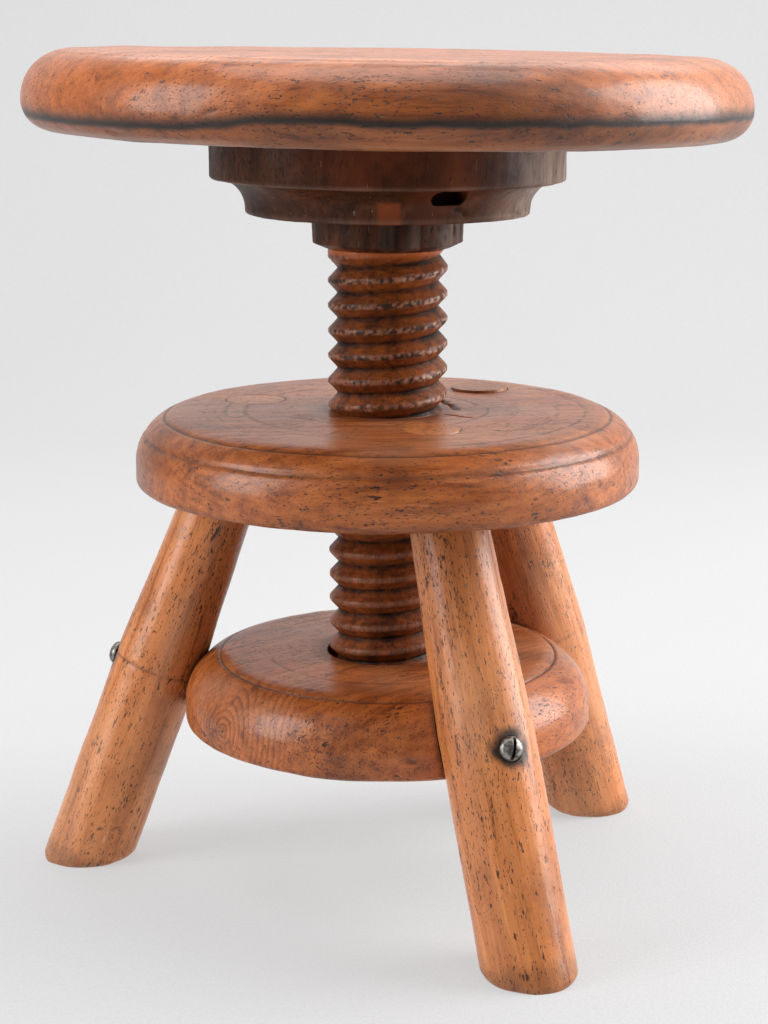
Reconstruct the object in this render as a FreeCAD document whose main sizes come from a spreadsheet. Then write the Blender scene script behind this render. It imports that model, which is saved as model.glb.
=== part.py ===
import FreeCAD, Part
import os
import re

import Sketcher

# Adjustable swivel stool in turned wood.  A threaded spindle carries the seat and winds up
# and down through a threaded hub on three splayed legs.  Origin: on the floor, on the
# spindle's axis.  +Z is up, the front leg is on the -Y side.  Millimetres and degrees.

os.makedirs("parts", exist_ok=True)
doc = FreeCAD.newDocument("stool")
sheet = doc.addObject("Spreadsheet::Sheet", "Sizes")

# Driving dimensions, each written once: alias, value and what it is.
sizes = {
    # seat
    "seat_radius": (170.0, "seat, outer radius"),
    "seat_thickness": (36.0, "seat, thickness"),
    "seat_edge_flat": (1.0, "seat, upright part of the edge between its two roundings"),
    "seat_bottom_round": (13.0, "seat, rounding of the lower edge"),
    # boss under the seat
    "boss_radius": (84.0, "boss, upper drum radius"),
    "boss_step": (16.6, "boss, how far the drum stands out past the lower lip"),
    "boss_foot": (16.2, "boss, height of lip and cove under the drum"),
    "boss_thickness": (38.0, "boss, whole thickness"),
    "boss_cove": (13.8, "boss, radius of the cove between drum and lip"),
    "boss_edge": (1.2, "boss, broken edge at the lip"),
    # thrust collar
    "collar_radius": (35.9, "collar, outer radius"),
    "collar_thickness": (16.0, "collar, thickness"),
    "collar_chamfer_width": (6.0, "collar, width of the lower chamfer"),
    "collar_chamfer_rise": (2.6, "collar, height of the lower chamfer"),
    "collar_gap": (0.05, "running clearance of the collar round the tenon"),
    # spindle
    "neck_z": (313.0, "height of the spindle's shoulder, seat at its middle setting"),
    "spindle_end_z": (56.0, "height of the spindle's lower end"),
    "thread_radius": (28.6, "thread, crest radius"),
    "thread_depth": (4.8, "thread, depth"),
    "thread_half_width": (5.2, "thread, half the groove's width at the crest"),
    "thread_pitch": (12.0, "thread, rise in one turn"),
    "thread_phase_z": (9.0, "height of a groove on the +X side, less whole turns"),
    "neck_length": (4.0, "spindle, from the groove's upper end to the shoulder"),
    "thread_gap": (0.4, "clearance between the two threads, square to the flank"),
    "thread_root_gap": (1.4, "clearance between the nut's crest and the spindle's root"),
    "thread_tool_extra": (0.3, "how far the thread tools reach past the wood's surface"),
    "end_chamfer": (3.0, "spindle, chamfer at the lower end"),
    "tenon_radius": (22.0, "spindle, tenon radius in collar and boss"),
    "tenon_end_gap": (1.0, "gap between the spindle's tenon and the seat"),
    # hub
    "hub_radius": (121.6, "hub, outer radius"),
    "hub_bottom_z": (200.3, "hub, height of the underside"),
    "hub_thickness": (34.0, "hub, thickness"),
    "hub_top_round": (22.5, "hub, rounding of the upper edge"),
    "hub_bottom_round": (3.5, "hub, rounding of the lower edge"),
    "hub_ring_high": (21.9, "hub, place of the upper ring on the rounding, in degrees"),
    "hub_ring_low": (54.1, "hub, place of the lower ring on the rounding, in degrees"),
    # lower disc
    "disc_bite": (3.41, "lower disc, depth that the farthest leg is housed in its edge"),
    "disc_bottom_z": (79.0, "lower disc, height of the underside"),
    "disc_thickness": (35.0, "lower disc, thickness"),
    "disc_top_round": (25.0, "lower disc, rounding of the upper edge"),
    "disc_bottom_round": (4.0, "lower disc, rounding of the lower edge"),
    "disc_ring": (18.7, "lower disc, place of the ring on the rounding, in degrees"),
    "disc_bore_gap": (1.2, "clearance of the spindle in the lower disc"),
    "ring_depth": (0.9, "depth of the turned rings"),
    # legs
    "leg_foot_radius": (21.7, "leg, radius at the floor"),
    "leg_mid_radius": (21.9, "leg, largest radius"),
    "leg_mid_height": (112.0, "leg, distance of the largest radius from the floor"),
    "leg_top_radius": (18.2, "leg, radius under the shoulder"),
    "leg_shoulder_round": (4.4, "leg, rounding of the shoulder"),
    "leg_shoulder_gap": (0.4, "gap between the leg's shoulder and the hub"),
    "leg_tenon_radius": (13.5, "leg, tenon radius"),
    "leg_foot_round": (2.4, "leg, worn edge at the floor"),
    "leg_seat_gap": (0.2, "gap between a leg and the notch that houses it"),
    "leg_spare": (30.0, "extra length cut off at the floor and at the hub"),
    "left_foot_x": (-153.8, "left leg's axis at the floor"),
    "left_foot_y": (15.4, "left leg's axis at the floor"),
    "left_top_x": (-65.4, "left leg's axis at the hub's top"),
    "left_top_y": (28.0, "left leg's axis at the hub's top"),
    "left_proud": (0.0, "left tenon's end above the hub's top"),
    "front_foot_x": (64.0, "front leg's axis at the floor"),
    "front_foot_y": (-129.7, "front leg's axis at the floor"),
    "front_top_x": (20.0, "front leg's axis at the hub's top"),
    "front_top_y": (-51.3, "front leg's axis at the hub's top"),
    "front_proud": (0.0, "front tenon's end above the hub's top"),
    "right_foot_x": (109.9, "right leg's axis at the floor"),
    "right_foot_y": (87.7, "right leg's axis at the floor"),
    "right_top_x": (47.1, "right leg's axis at the hub's top"),
    "right_top_y": (60.8, "right leg's axis at the hub's top"),
    "right_proud": (1.2, "right tenon's end above the hub's top"),
    # screws and peg
    "left_screw_height": (19.4, "left leg's screw, height above the lower disc's underside"),
    "front_screw_height": (16.4, "front leg's screw, height above the lower disc's underside"),
    "right_screw_height": (18.0, "right leg's screw, height above the lower disc's underside"),
    "screw_tilt": (17.0, "leg screws, angle down towards the middle"),
    "screw_head_radius": (5.7, "leg screw, head radius"),
    "screw_head_rise": (4.4, "leg screw, height of the round head"),
    "screw_dome_share": (0.9, "leg screw, share of the head's height that is rounded"),
    "screw_head_lift": (0.02, "gap under the leg screw's head"),
    "screw_radius": (2.4, "leg screw, shank radius"),
    "screw_length": (62.0, "leg screw, length under the head"),
    "screw_sink": (0.6, "leg screw, depth of the head's seat under the leg's surface"),
    "screw_seat_gap": (0.5, "gap round the head in its seat"),
    "slot_width": (1.3, "width of the screws' slots"),
    "slot_depth": (1.3, "depth of the screws' slots"),
    "wood_screw_inset": (17.4, "seat screws, distance in from the boss's lip"),
    "wood_screw_head": (5.0, "seat screw, head radius"),
    "wood_screw_cone": (3.2, "seat screw, height of the countersunk head"),
    "wood_screw_radius": (2.2, "seat screw, shank radius"),
    "wood_screw_length": (52.0, "seat screw, whole length"),
    "wood_screw_sink": (1.0, "seat screw, depth of the head under the boss"),
    "wood_screw_angle": (45.0, "seat screws, angle of the first from the tenon peg"),
    "peg_radius": (4.0, "tenon peg, radius"),
    "peg_height": (12.0, "tenon peg, height above the boss's underside"),
    "peg_angle": (-67.0, "direction of the tenon peg from +X"),
    "peg_sink": (10.4, "tenon peg, depth of its ends under the boss's lip"),
    "peg_recess_width": (17.0, "recess over the peg's end, width"),
    "peg_recess_height": (7.8, "recess over the peg's end, height"),
    "fit_gap": (0.1, "gap of screws, peg and tenons in their holes"),
}
for row, (alias, (value, note)) in enumerate(sizes.items(), start=1):
    sheet.set(f"A{row}", note)
    sheet.set(f"B{row}", str(value))
    sheet.setAlias(f"B{row}", alias)
doc.recompute()


def bind(text):
    """Turn the sheet's own words in an expression into references to it."""
    return re.sub(r"[a-z_]+", lambda word: f"Sizes.{word[0]}" if word[0] in sizes else word[0], text)


def number(text):
    value = sheet.evalExpression(bind(text))
    return float(getattr(value, "Value", value))


def add_body(label):
    body = doc.addObject("PartDesign::Body", label)
    body.Label = label
    return body


def add_sketch(body, name, plane, place=None):
    """A sketch on one of the body's own planes, moved by a placement expression."""
    sketch = body.newObject("Sketcher::SketchObject", f"{body.Label}_{name}")
    face = [item for item in body.Origin.OriginFeatures if item.Role == plane][0]
    sketch.AttachmentSupport = [(face, "")]
    sketch.MapMode = "FlatFace"
    if place:
        sketch.setExpression("AttachmentOffset", bind(place))
    return sketch


def fix_point(sketch, edge, end, across, along):
    """Hold one end of an edge at a distance across and along from the sketch's origin."""
    for kind, axis, text in (("DistanceX", -2, across), ("DistanceY", -1, along)):
        if text == "0":
            sketch.addConstraint(Sketcher.Constraint("PointOnObject", edge, end, axis))
        else:
            index = sketch.addConstraint(Sketcher.Constraint(kind, edge, end, number(text)))
            sketch.setExpression(f"Constraints[{index}]", bind(text))


def outline(sketch, points):
    """A closed outline of straight edges; each corner is a pair of expressions."""
    corners = [FreeCAD.Vector(number(across), number(along), 0) for across, along in points]
    count = len(points)
    for index in range(count):
        sketch.addGeometry(Part.LineSegment(corners[index], corners[(index + 1) % count]), False)
    for index in range(count):
        sketch.addConstraint(Sketcher.Constraint("Coincident", index, 2, (index + 1) % count, 1))
    for index, (across, along) in enumerate(points):
        fix_point(sketch, index, 1, across, along)


def circle(sketch, across, along, radius):
    centre = FreeCAD.Vector(number(across), number(along), 0)
    edge = sketch.addGeometry(Part.Circle(centre, FreeCAD.Vector(0, 0, 1), number(radius)), False)
    index = sketch.addConstraint(Sketcher.Constraint("Radius", edge, number(radius)))
    sketch.setExpression(f"Constraints[{index}]", bind(radius))
    fix_point(sketch, edge, 3, across, along)


def add_feature(body, kind, name, sketch):
    feature = body.newObject(f"PartDesign::{kind}", f"{body.Label}_{name}")
    feature.Profile = sketch
    sketch.Visibility = False
    return feature


def turn(body, name, points, place=None, kind="Revolution"):
    """Turn an outline, radius across and height along, about the sketch's upright axis."""
    sketch = add_sketch(body, f"{name}_outline", "XY_Plane" if place else "XZ_Plane", place)
    outline(sketch, points)
    feature = add_feature(body, kind, name, sketch)
    feature.ReferenceAxis = (sketch, ["V_Axis"])
    feature.Angle = 360
    return feature


def groove_ring(body, name, across, along):
    """A ring cut round the body by a small round tool."""
    sketch = add_sketch(body, f"{name}_section", "XZ_Plane")
    circle(sketch, across, along, "ring_depth")
    feature = add_feature(body, "Groove", name, sketch)
    feature.ReferenceAxis = (sketch, ["V_Axis"])
    feature.Angle = 360
    return feature


def drill(body, name, place, radius, length=None, across="0", along="0"):
    """A round hole along the sketch's normal, both ways unless a length is given."""
    sketch = add_sketch(body, f"{name}_circle", "XY_Plane", place)
    circle(sketch, across, along, radius)
    feature = add_feature(body, "Pocket", name, sketch)
    if length:
        feature.Reversed = True
        feature.setExpression("Length", bind(length))
    else:
        feature.Midplane = True
        feature.setExpression("Length", bind("4 * seat_radius"))
    return feature


def cut_thread(body, name, profile, turns):
    """A right-hand helical groove about the body's Z axis, one outline swept up the thread."""
    sketch = add_sketch(body, f"{name}_section", "XZ_Plane")
    outline(sketch, profile)
    feature = add_feature(body, "SubtractiveHelix", name, sketch)
    feature.Mode = "pitch-turns-angle"
    feature.ReferenceAxis = (sketch, ["V_Axis"])
    feature.setExpression("Pitch", bind("thread_pitch"))
    feature.setExpression("Turns", bind(turns))
    return feature


def round_edges(body, name, radius, chosen, kind="Fillet"):
    """Round or bevel the edges of the body that the test chooses."""
    doc.recompute()
    tip = body.Tip
    names = [f"Edge{index}" for index, edge in enumerate(tip.Shape.Edges, start=1) if chosen(edge)]
    feature = body.newObject(f"PartDesign::{kind}", f"{body.Label}_{name}")
    feature.Base = (tip, names)
    feature.setExpression("Radius" if kind == "Fillet" else "Size", bind(radius))
    return feature


def ring_edge(radius, height):
    """A test for the level circular edge at a radius and a height."""
    def test(edge):
        round_edge = isinstance(edge.Curve, Part.Circle) and abs(edge.Curve.Radius - number(radius)) < 0.01
        return round_edge and abs(edge.BoundBox.ZMin - number(height)) < 0.01
    return test


# Heights that several pieces share.
shoulder = "neck_z"
boss_bottom = "(neck_z + collar_thickness)"
boss_top = "(neck_z + collar_thickness + boss_thickness)"
seat_top = "(neck_z + collar_thickness + boss_thickness + seat_thickness)"
hub_top = "(hub_bottom_z + hub_thickness)"
disc_top = "(disc_bottom_z + disc_thickness)"
drum_bottom = f"({boss_bottom} + boss_foot)"
peg_z = f"({boss_bottom} + peg_height)"

# Sizes that follow from others.
boss_lip = "(boss_radius - boss_step)"
peg_reach = f"({boss_lip} - peg_sink)"
tenon_length = "(collar_thickness + boss_thickness - tenon_end_gap)"
peg_line = f"placement(vector(0; 0; {peg_z}); rotation(peg_angle * 1 deg; 90; 0))"


# Each leg's straight axis runs from its foot on the floor to its tenon's end in the hub.
class LegAxis:
    def __init__(self, side):
        run_x = f"({side}_top_x - {side}_foot_x)"
        run_y = f"({side}_top_y - {side}_foot_y)"
        self.side = side
        self.heading = f"atan2({run_y}; {run_x})"
        self.lean = f"atan2(hypot({run_x}; {run_y}); {hub_top})"
        self.start = f"vector({side}_foot_x; {side}_foot_y; 0)"
        self.drill_place = f"placement({self.start}; rotation({self.heading}; {self.lean}; 0))"
        self.turn_place = f"placement({self.start}; rotation({self.heading}; {self.lean}; 90))"
        # The screw crosses the leg's axis at its own height and slopes down inwards.
        self.screw_z = f"(disc_bottom_z + {side}_screw_height)"
        share = f"{self.screw_z} / {hub_top}"
        self.screw_x = f"({side}_foot_x + {run_x} * {share})"
        self.screw_y = f"({side}_foot_y + {run_y} * {share})"
        self.screw_heading = f"atan2({self.screw_y}; {self.screw_x})"
        self.screw_distance = f"hypot({self.screw_x}; {self.screw_y})"
        self.head_seat = f"(leg_mid_radius / cos({self.lean} - screw_tilt * 1 deg) - screw_sink)"

    def on_screw(self, distance):
        """The screw's own placement at a distance outwards from the leg's axis."""
        level = f"{distance} * cos(screw_tilt * 1 deg)"
        across = f"{self.screw_x} + {level} * cos({self.screw_heading})"
        along = f"{self.screw_y} + {level} * sin({self.screw_heading})"
        height = f"{self.screw_z} + {distance} * sin(screw_tilt * 1 deg)"
        turned = f"rotation({self.screw_heading}; 90 - screw_tilt; 0)"
        return f"placement(vector({across}; {along}; {height}); {turned})"


legs = [LegAxis(side) for side in ("left", "front", "right")]
farthest_leg = f"max({'; '.join(leg.screw_distance for leg in legs)})"
disc_radius = f"({farthest_leg} - leg_mid_radius + disc_bite)"


def make_hub():
    body = add_body("hub")
    bore = "thread_radius - thread_depth + thread_root_gap"
    turn(body, "blank", [
        (bore, "hub_bottom_z"), ("hub_radius", "hub_bottom_z"), ("hub_radius", hub_top), (bore, hub_top)])
    round_edges(body, "top_round", "hub_top_round", ring_edge("hub_radius", hub_top))
    round_edges(body, "bottom_round", "hub_bottom_round", ring_edge("hub_radius", "hub_bottom_z"))
    for name in ("hub_ring_high", "hub_ring_low"):
        across = f"hub_radius - hub_top_round + hub_top_round * sin({name} * 1 deg)"
        along = f"{hub_top} - hub_top_round + hub_top_round * cos({name} * 1 deg)"
        groove_ring(body, name, across, along)
    for leg in legs:
        drill(body, f"{leg.side}_mortise", leg.drill_place, "leg_tenon_radius + fit_gap")
    # The nut's groove is the spindle's ridge grown by the thread clearance on each flank.
    slope = "thread_half_width / thread_depth"
    side_gap = "thread_gap * hypot(thread_half_width; thread_depth) / thread_depth"
    outer = "(thread_radius + thread_gap)"
    inner = f"({bore} - thread_tool_extra)"
    narrow = f"(thread_pitch / 2 - thread_half_width + {side_gap} - thread_gap * {slope})"
    wide = f"({narrow} + ({outer} - {inner}) * {slope})"
    first = "(thread_phase_z + thread_pitch * (floor((hub_bottom_z - thread_phase_z) / thread_pitch) - 1.5))"
    profile = [
        (inner, f"{first} - {wide}"), (outer, f"{first} - {narrow}"),
        (outer, f"{first} + {narrow}"), (inner, f"{first} + {wide}")]
    cut_thread(body, "thread", profile, "ceil(hub_thickness / thread_pitch) + 3")
    return body


def make_leg(number_on_stool, leg):
    body = add_body(f"leg_{number_on_stool}")
    axis_length = f"({hub_top} / cos({leg.lean}))"
    # The rounded shoulder's highest point stays just under the hub.
    round_centre = "(leg_top_radius - leg_shoulder_round)"
    shoulder_at = (f"((hub_bottom_z - leg_shoulder_gap - leg_shoulder_round - {round_centre}"
                   f" * sin({leg.lean})) / cos({leg.lean}) + leg_shoulder_round)")
    turn(body, "turned", [
        ("0", "-leg_spare"), ("leg_foot_radius", "-leg_spare"),
        ("leg_mid_radius", "leg_mid_height"),
        ("leg_top_radius", f"{shoulder_at} - 2 * leg_shoulder_round"),
        ("leg_top_radius", shoulder_at), ("leg_tenon_radius", shoulder_at),
        ("leg_tenon_radius", f"{axis_length} + leg_spare"), ("0", f"{axis_length} + leg_spare")],
        leg.turn_place)

    def shoulder_edge(edge):
        if not isinstance(edge.Curve, Part.Circle):
            return False
        right_height = abs(edge.Curve.Center.z - number(f"{shoulder_at} * cos({leg.lean})")) < 0.01
        return right_height and abs(edge.Curve.Radius - number("leg_top_radius")) < 0.01

    round_edges(body, "shoulder_round", "leg_shoulder_round", shoulder_edge)
    # The foot is cut level with the floor and the tenon level with the hub's top.
    for name, height, downwards in (
            ("foot_cut", "0", True), ("tenon_cut", f"({hub_top} + {leg.side}_proud)", False)):
        place = f"placement(vector(0; 0; {height}); rotation(0; 0; 0))"
        sketch = add_sketch(body, f"{name}_area", "XY_Plane", place)
        circle(sketch, "0", "0", "2 * seat_radius")
        cut = add_feature(body, "Pocket", name, sketch)
        cut.Reversed = not downwards
        cut.setExpression("Length", bind("4 * leg_spare"))
    round_edges(body, "foot_round", "leg_foot_round",
                lambda edge: edge.BoundBox.ZMax < 0.01)
    drill(body, "screw_hole", leg.on_screw("0"), "screw_radius + fit_gap")
    sketch = add_sketch(body, "head_seat_circle", "XY_Plane", leg.on_screw(leg.head_seat))
    circle(sketch, "0", "0", "screw_head_radius + screw_seat_gap")
    seat = add_feature(body, "Pocket", "head_seat", sketch)
    seat.Reversed = True
    seat.setExpression("Length", bind("leg_mid_radius"))
    return body


def make_leg_screw(number_on_stool, leg):
    """Round-head slotted screw, driven inwards through the leg into the lower disc."""
    body = add_body(f"leg_screw_{number_on_stool}")
    turn(body, "turned", [
        ("0", "-screw_length"), ("screw_radius", "-screw_length + 2 * screw_radius"),
        ("screw_radius", "screw_head_lift"), ("screw_head_radius", "screw_head_lift"),
        ("screw_head_radius", "screw_head_rise"), ("0", "screw_head_rise")],
        "placement(vector(0; 0; 0); rotation(0; 0; 90))")
    dome = "screw_head_rise * screw_dome_share"
    round_edges(body, "dome", dome, ring_edge("screw_head_radius", "screw_head_rise"))
    cut_slot(body, "screw_head_rise", "screw_head_radius")
    body.setExpression("Placement", bind(leg.on_screw(leg.head_seat)))
    return body


def cut_slot(body, top, radius):
    """A driver's slot across the top of a screw's head."""
    sketch = add_sketch(body, "slot_area", "XY_Plane", f"placement(vector(0; 0; {top}); rotation(0; 0; 0))")
    half = "slot_width / 2"
    reach = f"(2 * {radius})"
    outline(sketch, [
        (f"-{reach}", f"-{half}"), (reach, f"-{half}"), (reach, half), (f"-{reach}", half)])
    slot = add_feature(body, "Pocket", "slot", sketch)
    slot.setExpression("Length", bind("slot_depth"))


def make_lower_disc():
    body = add_body("lower_disc")
    bore = "thread_radius + disc_bore_gap"
    turn(body, "blank", [
        (bore, "disc_bottom_z"), (disc_radius, "disc_bottom_z"),
        (disc_radius, disc_top), (bore, disc_top)])
    round_edges(body, "top_round", "disc_top_round", ring_edge(disc_radius, disc_top))
    round_edges(body, "bottom_round", "disc_bottom_round", ring_edge(disc_radius, "disc_bottom_z"))
    groove_ring(
        body, "disc_ring",
        f"{disc_radius} - disc_top_round + disc_top_round * sin(disc_ring * 1 deg)",
        f"{disc_top} - disc_top_round + disc_top_round * cos(disc_ring * 1 deg)")
    for leg in legs:
        drill(body, f"{leg.side}_notch", leg.drill_place, "leg_mid_radius + leg_seat_gap")
        # The pilot hole stops past the screw's point.
        tip = f"({leg.head_seat} - screw_length - fit_gap)"
        drill(body, f"{leg.side}_pilot", leg.on_screw(tip), "screw_radius + fit_gap", disc_radius)
    return body


def make_collar():
    body = add_body("collar")
    bore = "tenon_radius + collar_gap"
    inner = "collar_radius - collar_chamfer_width"
    turn(body, "ring", [
        (bore, shoulder), (inner, shoulder), ("collar_radius", f"{shoulder} + collar_chamfer_rise"),
        ("collar_radius", boss_bottom), (bore, boss_bottom)])
    return body


def make_spindle():
    body = add_body("spindle")
    turn(body, "blank", [
        ("0", "spindle_end_z"), ("thread_radius - end_chamfer", "spindle_end_z"),
        ("thread_radius", "spindle_end_z + end_chamfer"), ("thread_radius", shoulder),
        ("tenon_radius", shoulder), ("tenon_radius", f"{shoulder} + {tenon_length}"),
        ("0", f"{shoulder} + {tenon_length}")])
    drill(body, "peg_hole", peg_line, "peg_radius + fit_gap")
    # A V tool, a little wider than the groove because it starts outside the crest.
    slope = "thread_half_width / thread_depth"
    outer = "thread_radius + thread_tool_extra"
    mouth = f"(thread_half_width + thread_tool_extra * {slope})"
    first = "(thread_phase_z + thread_pitch * (ceil((spindle_end_z - thread_phase_z) / thread_pitch) - 2))"
    profile = [
        ("thread_radius - thread_depth", first),
        (outer, f"{first} - {mouth}"), (outer, f"{first} + {mouth}")]
    cut_thread(body, "thread", profile, f"(neck_z - neck_length - {first}) / thread_pitch")
    return body


def wood_screw_place(index):
    angle = f"((peg_angle + wood_screw_angle + {90 * index}) * 1 deg)"
    across = f"({boss_lip} - wood_screw_inset) * cos({angle})"
    along = f"({boss_lip} - wood_screw_inset) * sin({angle})"
    height = f"{boss_bottom} + wood_screw_sink"
    return f"placement(vector({across}; {along}; {height}); rotation(0; 0; 0))"


def make_seat_boss():
    body = add_body("seat_boss")
    bore = "tenon_radius + fit_gap"
    turn(body, "blank", [
        (bore, boss_bottom), (boss_lip, boss_bottom), (boss_lip, drum_bottom),
        ("boss_radius", drum_bottom), ("boss_radius", boss_top), (bore, boss_top)])
    round_edges(body, "cove", "boss_cove", ring_edge(boss_lip, drum_bottom))
    round_edges(body, "lip_edge", "boss_edge", ring_edge(boss_lip, boss_bottom))
    drill(body, "peg_hole", peg_line, "peg_radius + fit_gap")
    # The peg's visible end lies in a recess that is wider than it is high.
    place = (f"placement(vector({peg_reach} * cos(peg_angle * 1 deg); {peg_reach} * sin(peg_angle * 1 deg);"
             f" {peg_z}); rotation(peg_angle * 1 deg; 90; 0))")
    sketch = add_sketch(body, "recess_area", "XY_Plane", place)
    high = "peg_recess_height / 2"
    wide = "peg_recess_width / 2"
    outline(sketch, [(f"-{high}", f"-{wide}"), (high, f"-{wide}"), (high, wide), (f"-{high}", wide)])
    recess = add_feature(body, "Pocket", "recess", sketch)
    recess.Reversed = True
    recess.setExpression("Length", bind("boss_radius"))
    for index in range(4):
        drill_wood_screw(body, index)
    return body


def drill_wood_screw(body, index):
    """The hole of one seat screw: its shank's bore and its countersink, from below."""
    reach = "(wood_screw_length + fit_gap)"
    turn(body, f"screw_hole_{index}", [
        ("0", "-2 * wood_screw_sink"), ("wood_screw_head + fit_gap", "-2 * wood_screw_sink"),
        ("wood_screw_head + fit_gap", "0"), ("wood_screw_radius + fit_gap", "wood_screw_cone"),
        ("wood_screw_radius + fit_gap", reach), ("0", reach)],
        turned_upright(wood_screw_place(index)), "Groove")


def turned_upright(place):
    return place.replace("rotation(0; 0; 0)", "rotation(0; 0; 90)")


def make_seat():
    body = add_body("seat")
    turn(body, "blank", [
        ("0", boss_top), ("seat_radius", boss_top), ("seat_radius", seat_top), ("0", seat_top)])
    top_round = "seat_thickness - seat_bottom_round - seat_edge_flat"
    round_edges(body, "top_round", top_round, ring_edge("seat_radius", seat_top))
    round_edges(body, "bottom_round", "seat_bottom_round", ring_edge("seat_radius", boss_top))
    for index in range(4):
        drill_wood_screw(body, index)
    return body


def make_boss_screw(index):
    """Countersunk slotted screw, driven up through the boss into the seat."""
    body = add_body(f"boss_screw_{index + 1}")
    turn(body, "turned", [
        ("0", "0"), ("wood_screw_head", "0"), ("wood_screw_radius", "wood_screw_cone"),
        ("wood_screw_radius", "wood_screw_length - 3 * wood_screw_radius"), ("0", "wood_screw_length")],
        "placement(vector(0; 0; 0); rotation(0; 0; 90))")
    sketch = add_sketch(body, "slot_area", "XY_Plane")
    half = "slot_width / 2"
    reach = "(2 * wood_screw_head)"
    outline(sketch, [
        (f"-{reach}", f"-{half}"), (reach, f"-{half}"), (reach, half), (f"-{reach}", half)])
    slot = add_feature(body, "Pocket", "slot", sketch)
    slot.Reversed = True
    slot.setExpression("Length", bind("slot_depth"))
    body.setExpression("Placement", bind(wood_screw_place(index)))
    return body


def make_tenon_peg():
    """Wooden peg driven across the boss and the spindle's tenon."""
    body = add_body("tenon_peg")
    turn(body, "turned", [
        ("0", f"-{peg_reach}"), ("peg_radius", f"-{peg_reach}"), ("peg_radius", peg_reach), ("0", peg_reach)],
        "placement(vector(0; 0; 0); rotation(0; 0; 90))")
    body.setExpression("Placement", bind(peg_line))
    return body


bodies = [make_hub(), make_lower_disc(), make_collar(), make_spindle(), make_seat_boss(), make_seat()]
for index, leg in enumerate(legs):
    bodies.append(make_leg(index + 1, leg))
    bodies.append(make_leg_screw(index + 1, leg))
for index in range(4):
    bodies.append(make_boss_screw(index))
bodies.append(make_tenon_peg())
doc.recompute()

# Nothing is written unless every object is sound and every cut took something away.
for item in doc.Objects:
    if "Invalid" in item.State or "Error" in item.State:
        raise SystemExit(f"{item.Label} failed: {item.State}")
    if item.TypeId in ("PartDesign::Pocket", "PartDesign::Groove", "PartDesign::SubtractiveHelix"):
        if item.Shape.Volume > item.BaseFeature.Shape.Volume - 0.01:
            raise SystemExit(f"{item.Label} cut nothing")
for body in bodies:
    if body.Shape.isNull() or not body.Shape.isValid() or len(body.Shape.Solids) != 1:
        raise SystemExit(f"{body.Label} isn't one sound solid")
for body in bodies:
    body.Shape.exportStep(f"parts/{body.Label}.step")
    print(f"{body.Label}: {body.Shape.Volume / 1000:.1f} cm3")
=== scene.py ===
import math

import bmesh
import bpy
import numpy as np
from mathutils import Matrix, Vector


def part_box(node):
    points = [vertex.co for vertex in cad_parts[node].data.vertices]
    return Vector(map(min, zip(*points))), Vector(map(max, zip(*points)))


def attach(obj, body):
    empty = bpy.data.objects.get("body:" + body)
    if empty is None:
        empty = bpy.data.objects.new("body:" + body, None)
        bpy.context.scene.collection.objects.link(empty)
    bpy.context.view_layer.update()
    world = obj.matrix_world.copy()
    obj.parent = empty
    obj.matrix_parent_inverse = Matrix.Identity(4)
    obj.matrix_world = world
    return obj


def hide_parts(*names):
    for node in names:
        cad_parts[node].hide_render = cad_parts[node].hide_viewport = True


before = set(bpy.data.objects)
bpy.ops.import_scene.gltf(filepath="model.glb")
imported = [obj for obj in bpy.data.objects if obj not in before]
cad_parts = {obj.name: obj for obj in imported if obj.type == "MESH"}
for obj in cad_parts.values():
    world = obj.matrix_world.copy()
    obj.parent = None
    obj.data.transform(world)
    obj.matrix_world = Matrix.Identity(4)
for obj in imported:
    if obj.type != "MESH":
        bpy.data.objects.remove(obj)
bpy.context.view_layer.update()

# Shapes are worked out in millimetres and become metres when a mesh is made.
mm = 0.001


def heightOf(node):
    low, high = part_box(node)
    return low.z / mm, high.z / mm


seatLow, seatHigh = heightOf("seat")
bossLow, bossHigh = heightOf("seat_boss")
collarLow, collarHigh = heightOf("collar")
hubLow, hubHigh = heightOf("hub")
discLow, discHigh = heightOf("lower_disc")
spindleLow, spindleHigh = heightOf("spindle")
print("frame loaded")


def hashOf(i, j, k, seed):
    h = (i * 374761393 + j * 668265263 + k * 1440670441 + seed * 974711) & 0xffffffff
    h = ((h ^ (h >> 13)) * 1274126177) & 0xffffffff
    return ((h ^ (h >> 16)) & 0xffff) / 65535.0


def noiseAt(points, size, seed=0):  # smooth noise from -1 to 1
    q = points / size
    cell = np.floor(q).astype(np.int64)
    f = q - cell
    f = f * f * (3 - 2 * f)
    total = np.zeros(points.shape[:-1])
    for corner in np.ndindex(2, 2, 2):
        weight = 1.0
        for axis, side in enumerate(corner):
            weight = weight * (f[..., axis] if side else 1 - f[..., axis])
        total += weight * hashOf(*(cell[..., axis] + corner[axis] for axis in range(3)), seed)
    return total * 2 - 1


def ramp(x, low, high):
    t = np.clip((x - low) / (high - low), 0, 1)
    return t * t * (3 - 2 * t)


def hump(away, width):  # 1 at nought, falling off on both sides
    return np.exp(-(away / width) ** 2)


def awayFrom(points, a, b):  # distance of each point from the segment a to b
    a = np.array(a, float)
    run = np.array(b, float) - a
    length = float(run @ run)
    share = np.clip(((points - a) @ run) / length, 0, 1) if length > 0 else np.zeros(points.shape[:-1])
    return np.linalg.norm(points - a - share[..., None] * run, axis=-1)


def reachOf(spots):  # distance from the axis
    return np.hypot(spots[:, 0], spots[:, 1])


def aroundOf(spots):  # angle round the axis, in degrees
    return np.degrees(np.arctan2(spots[:, 1], spots[:, 0]))


def onRim(radius, angle, height):
    turn = math.radians(angle)
    return (radius * math.cos(turn), radius * math.sin(turn), height)


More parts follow.
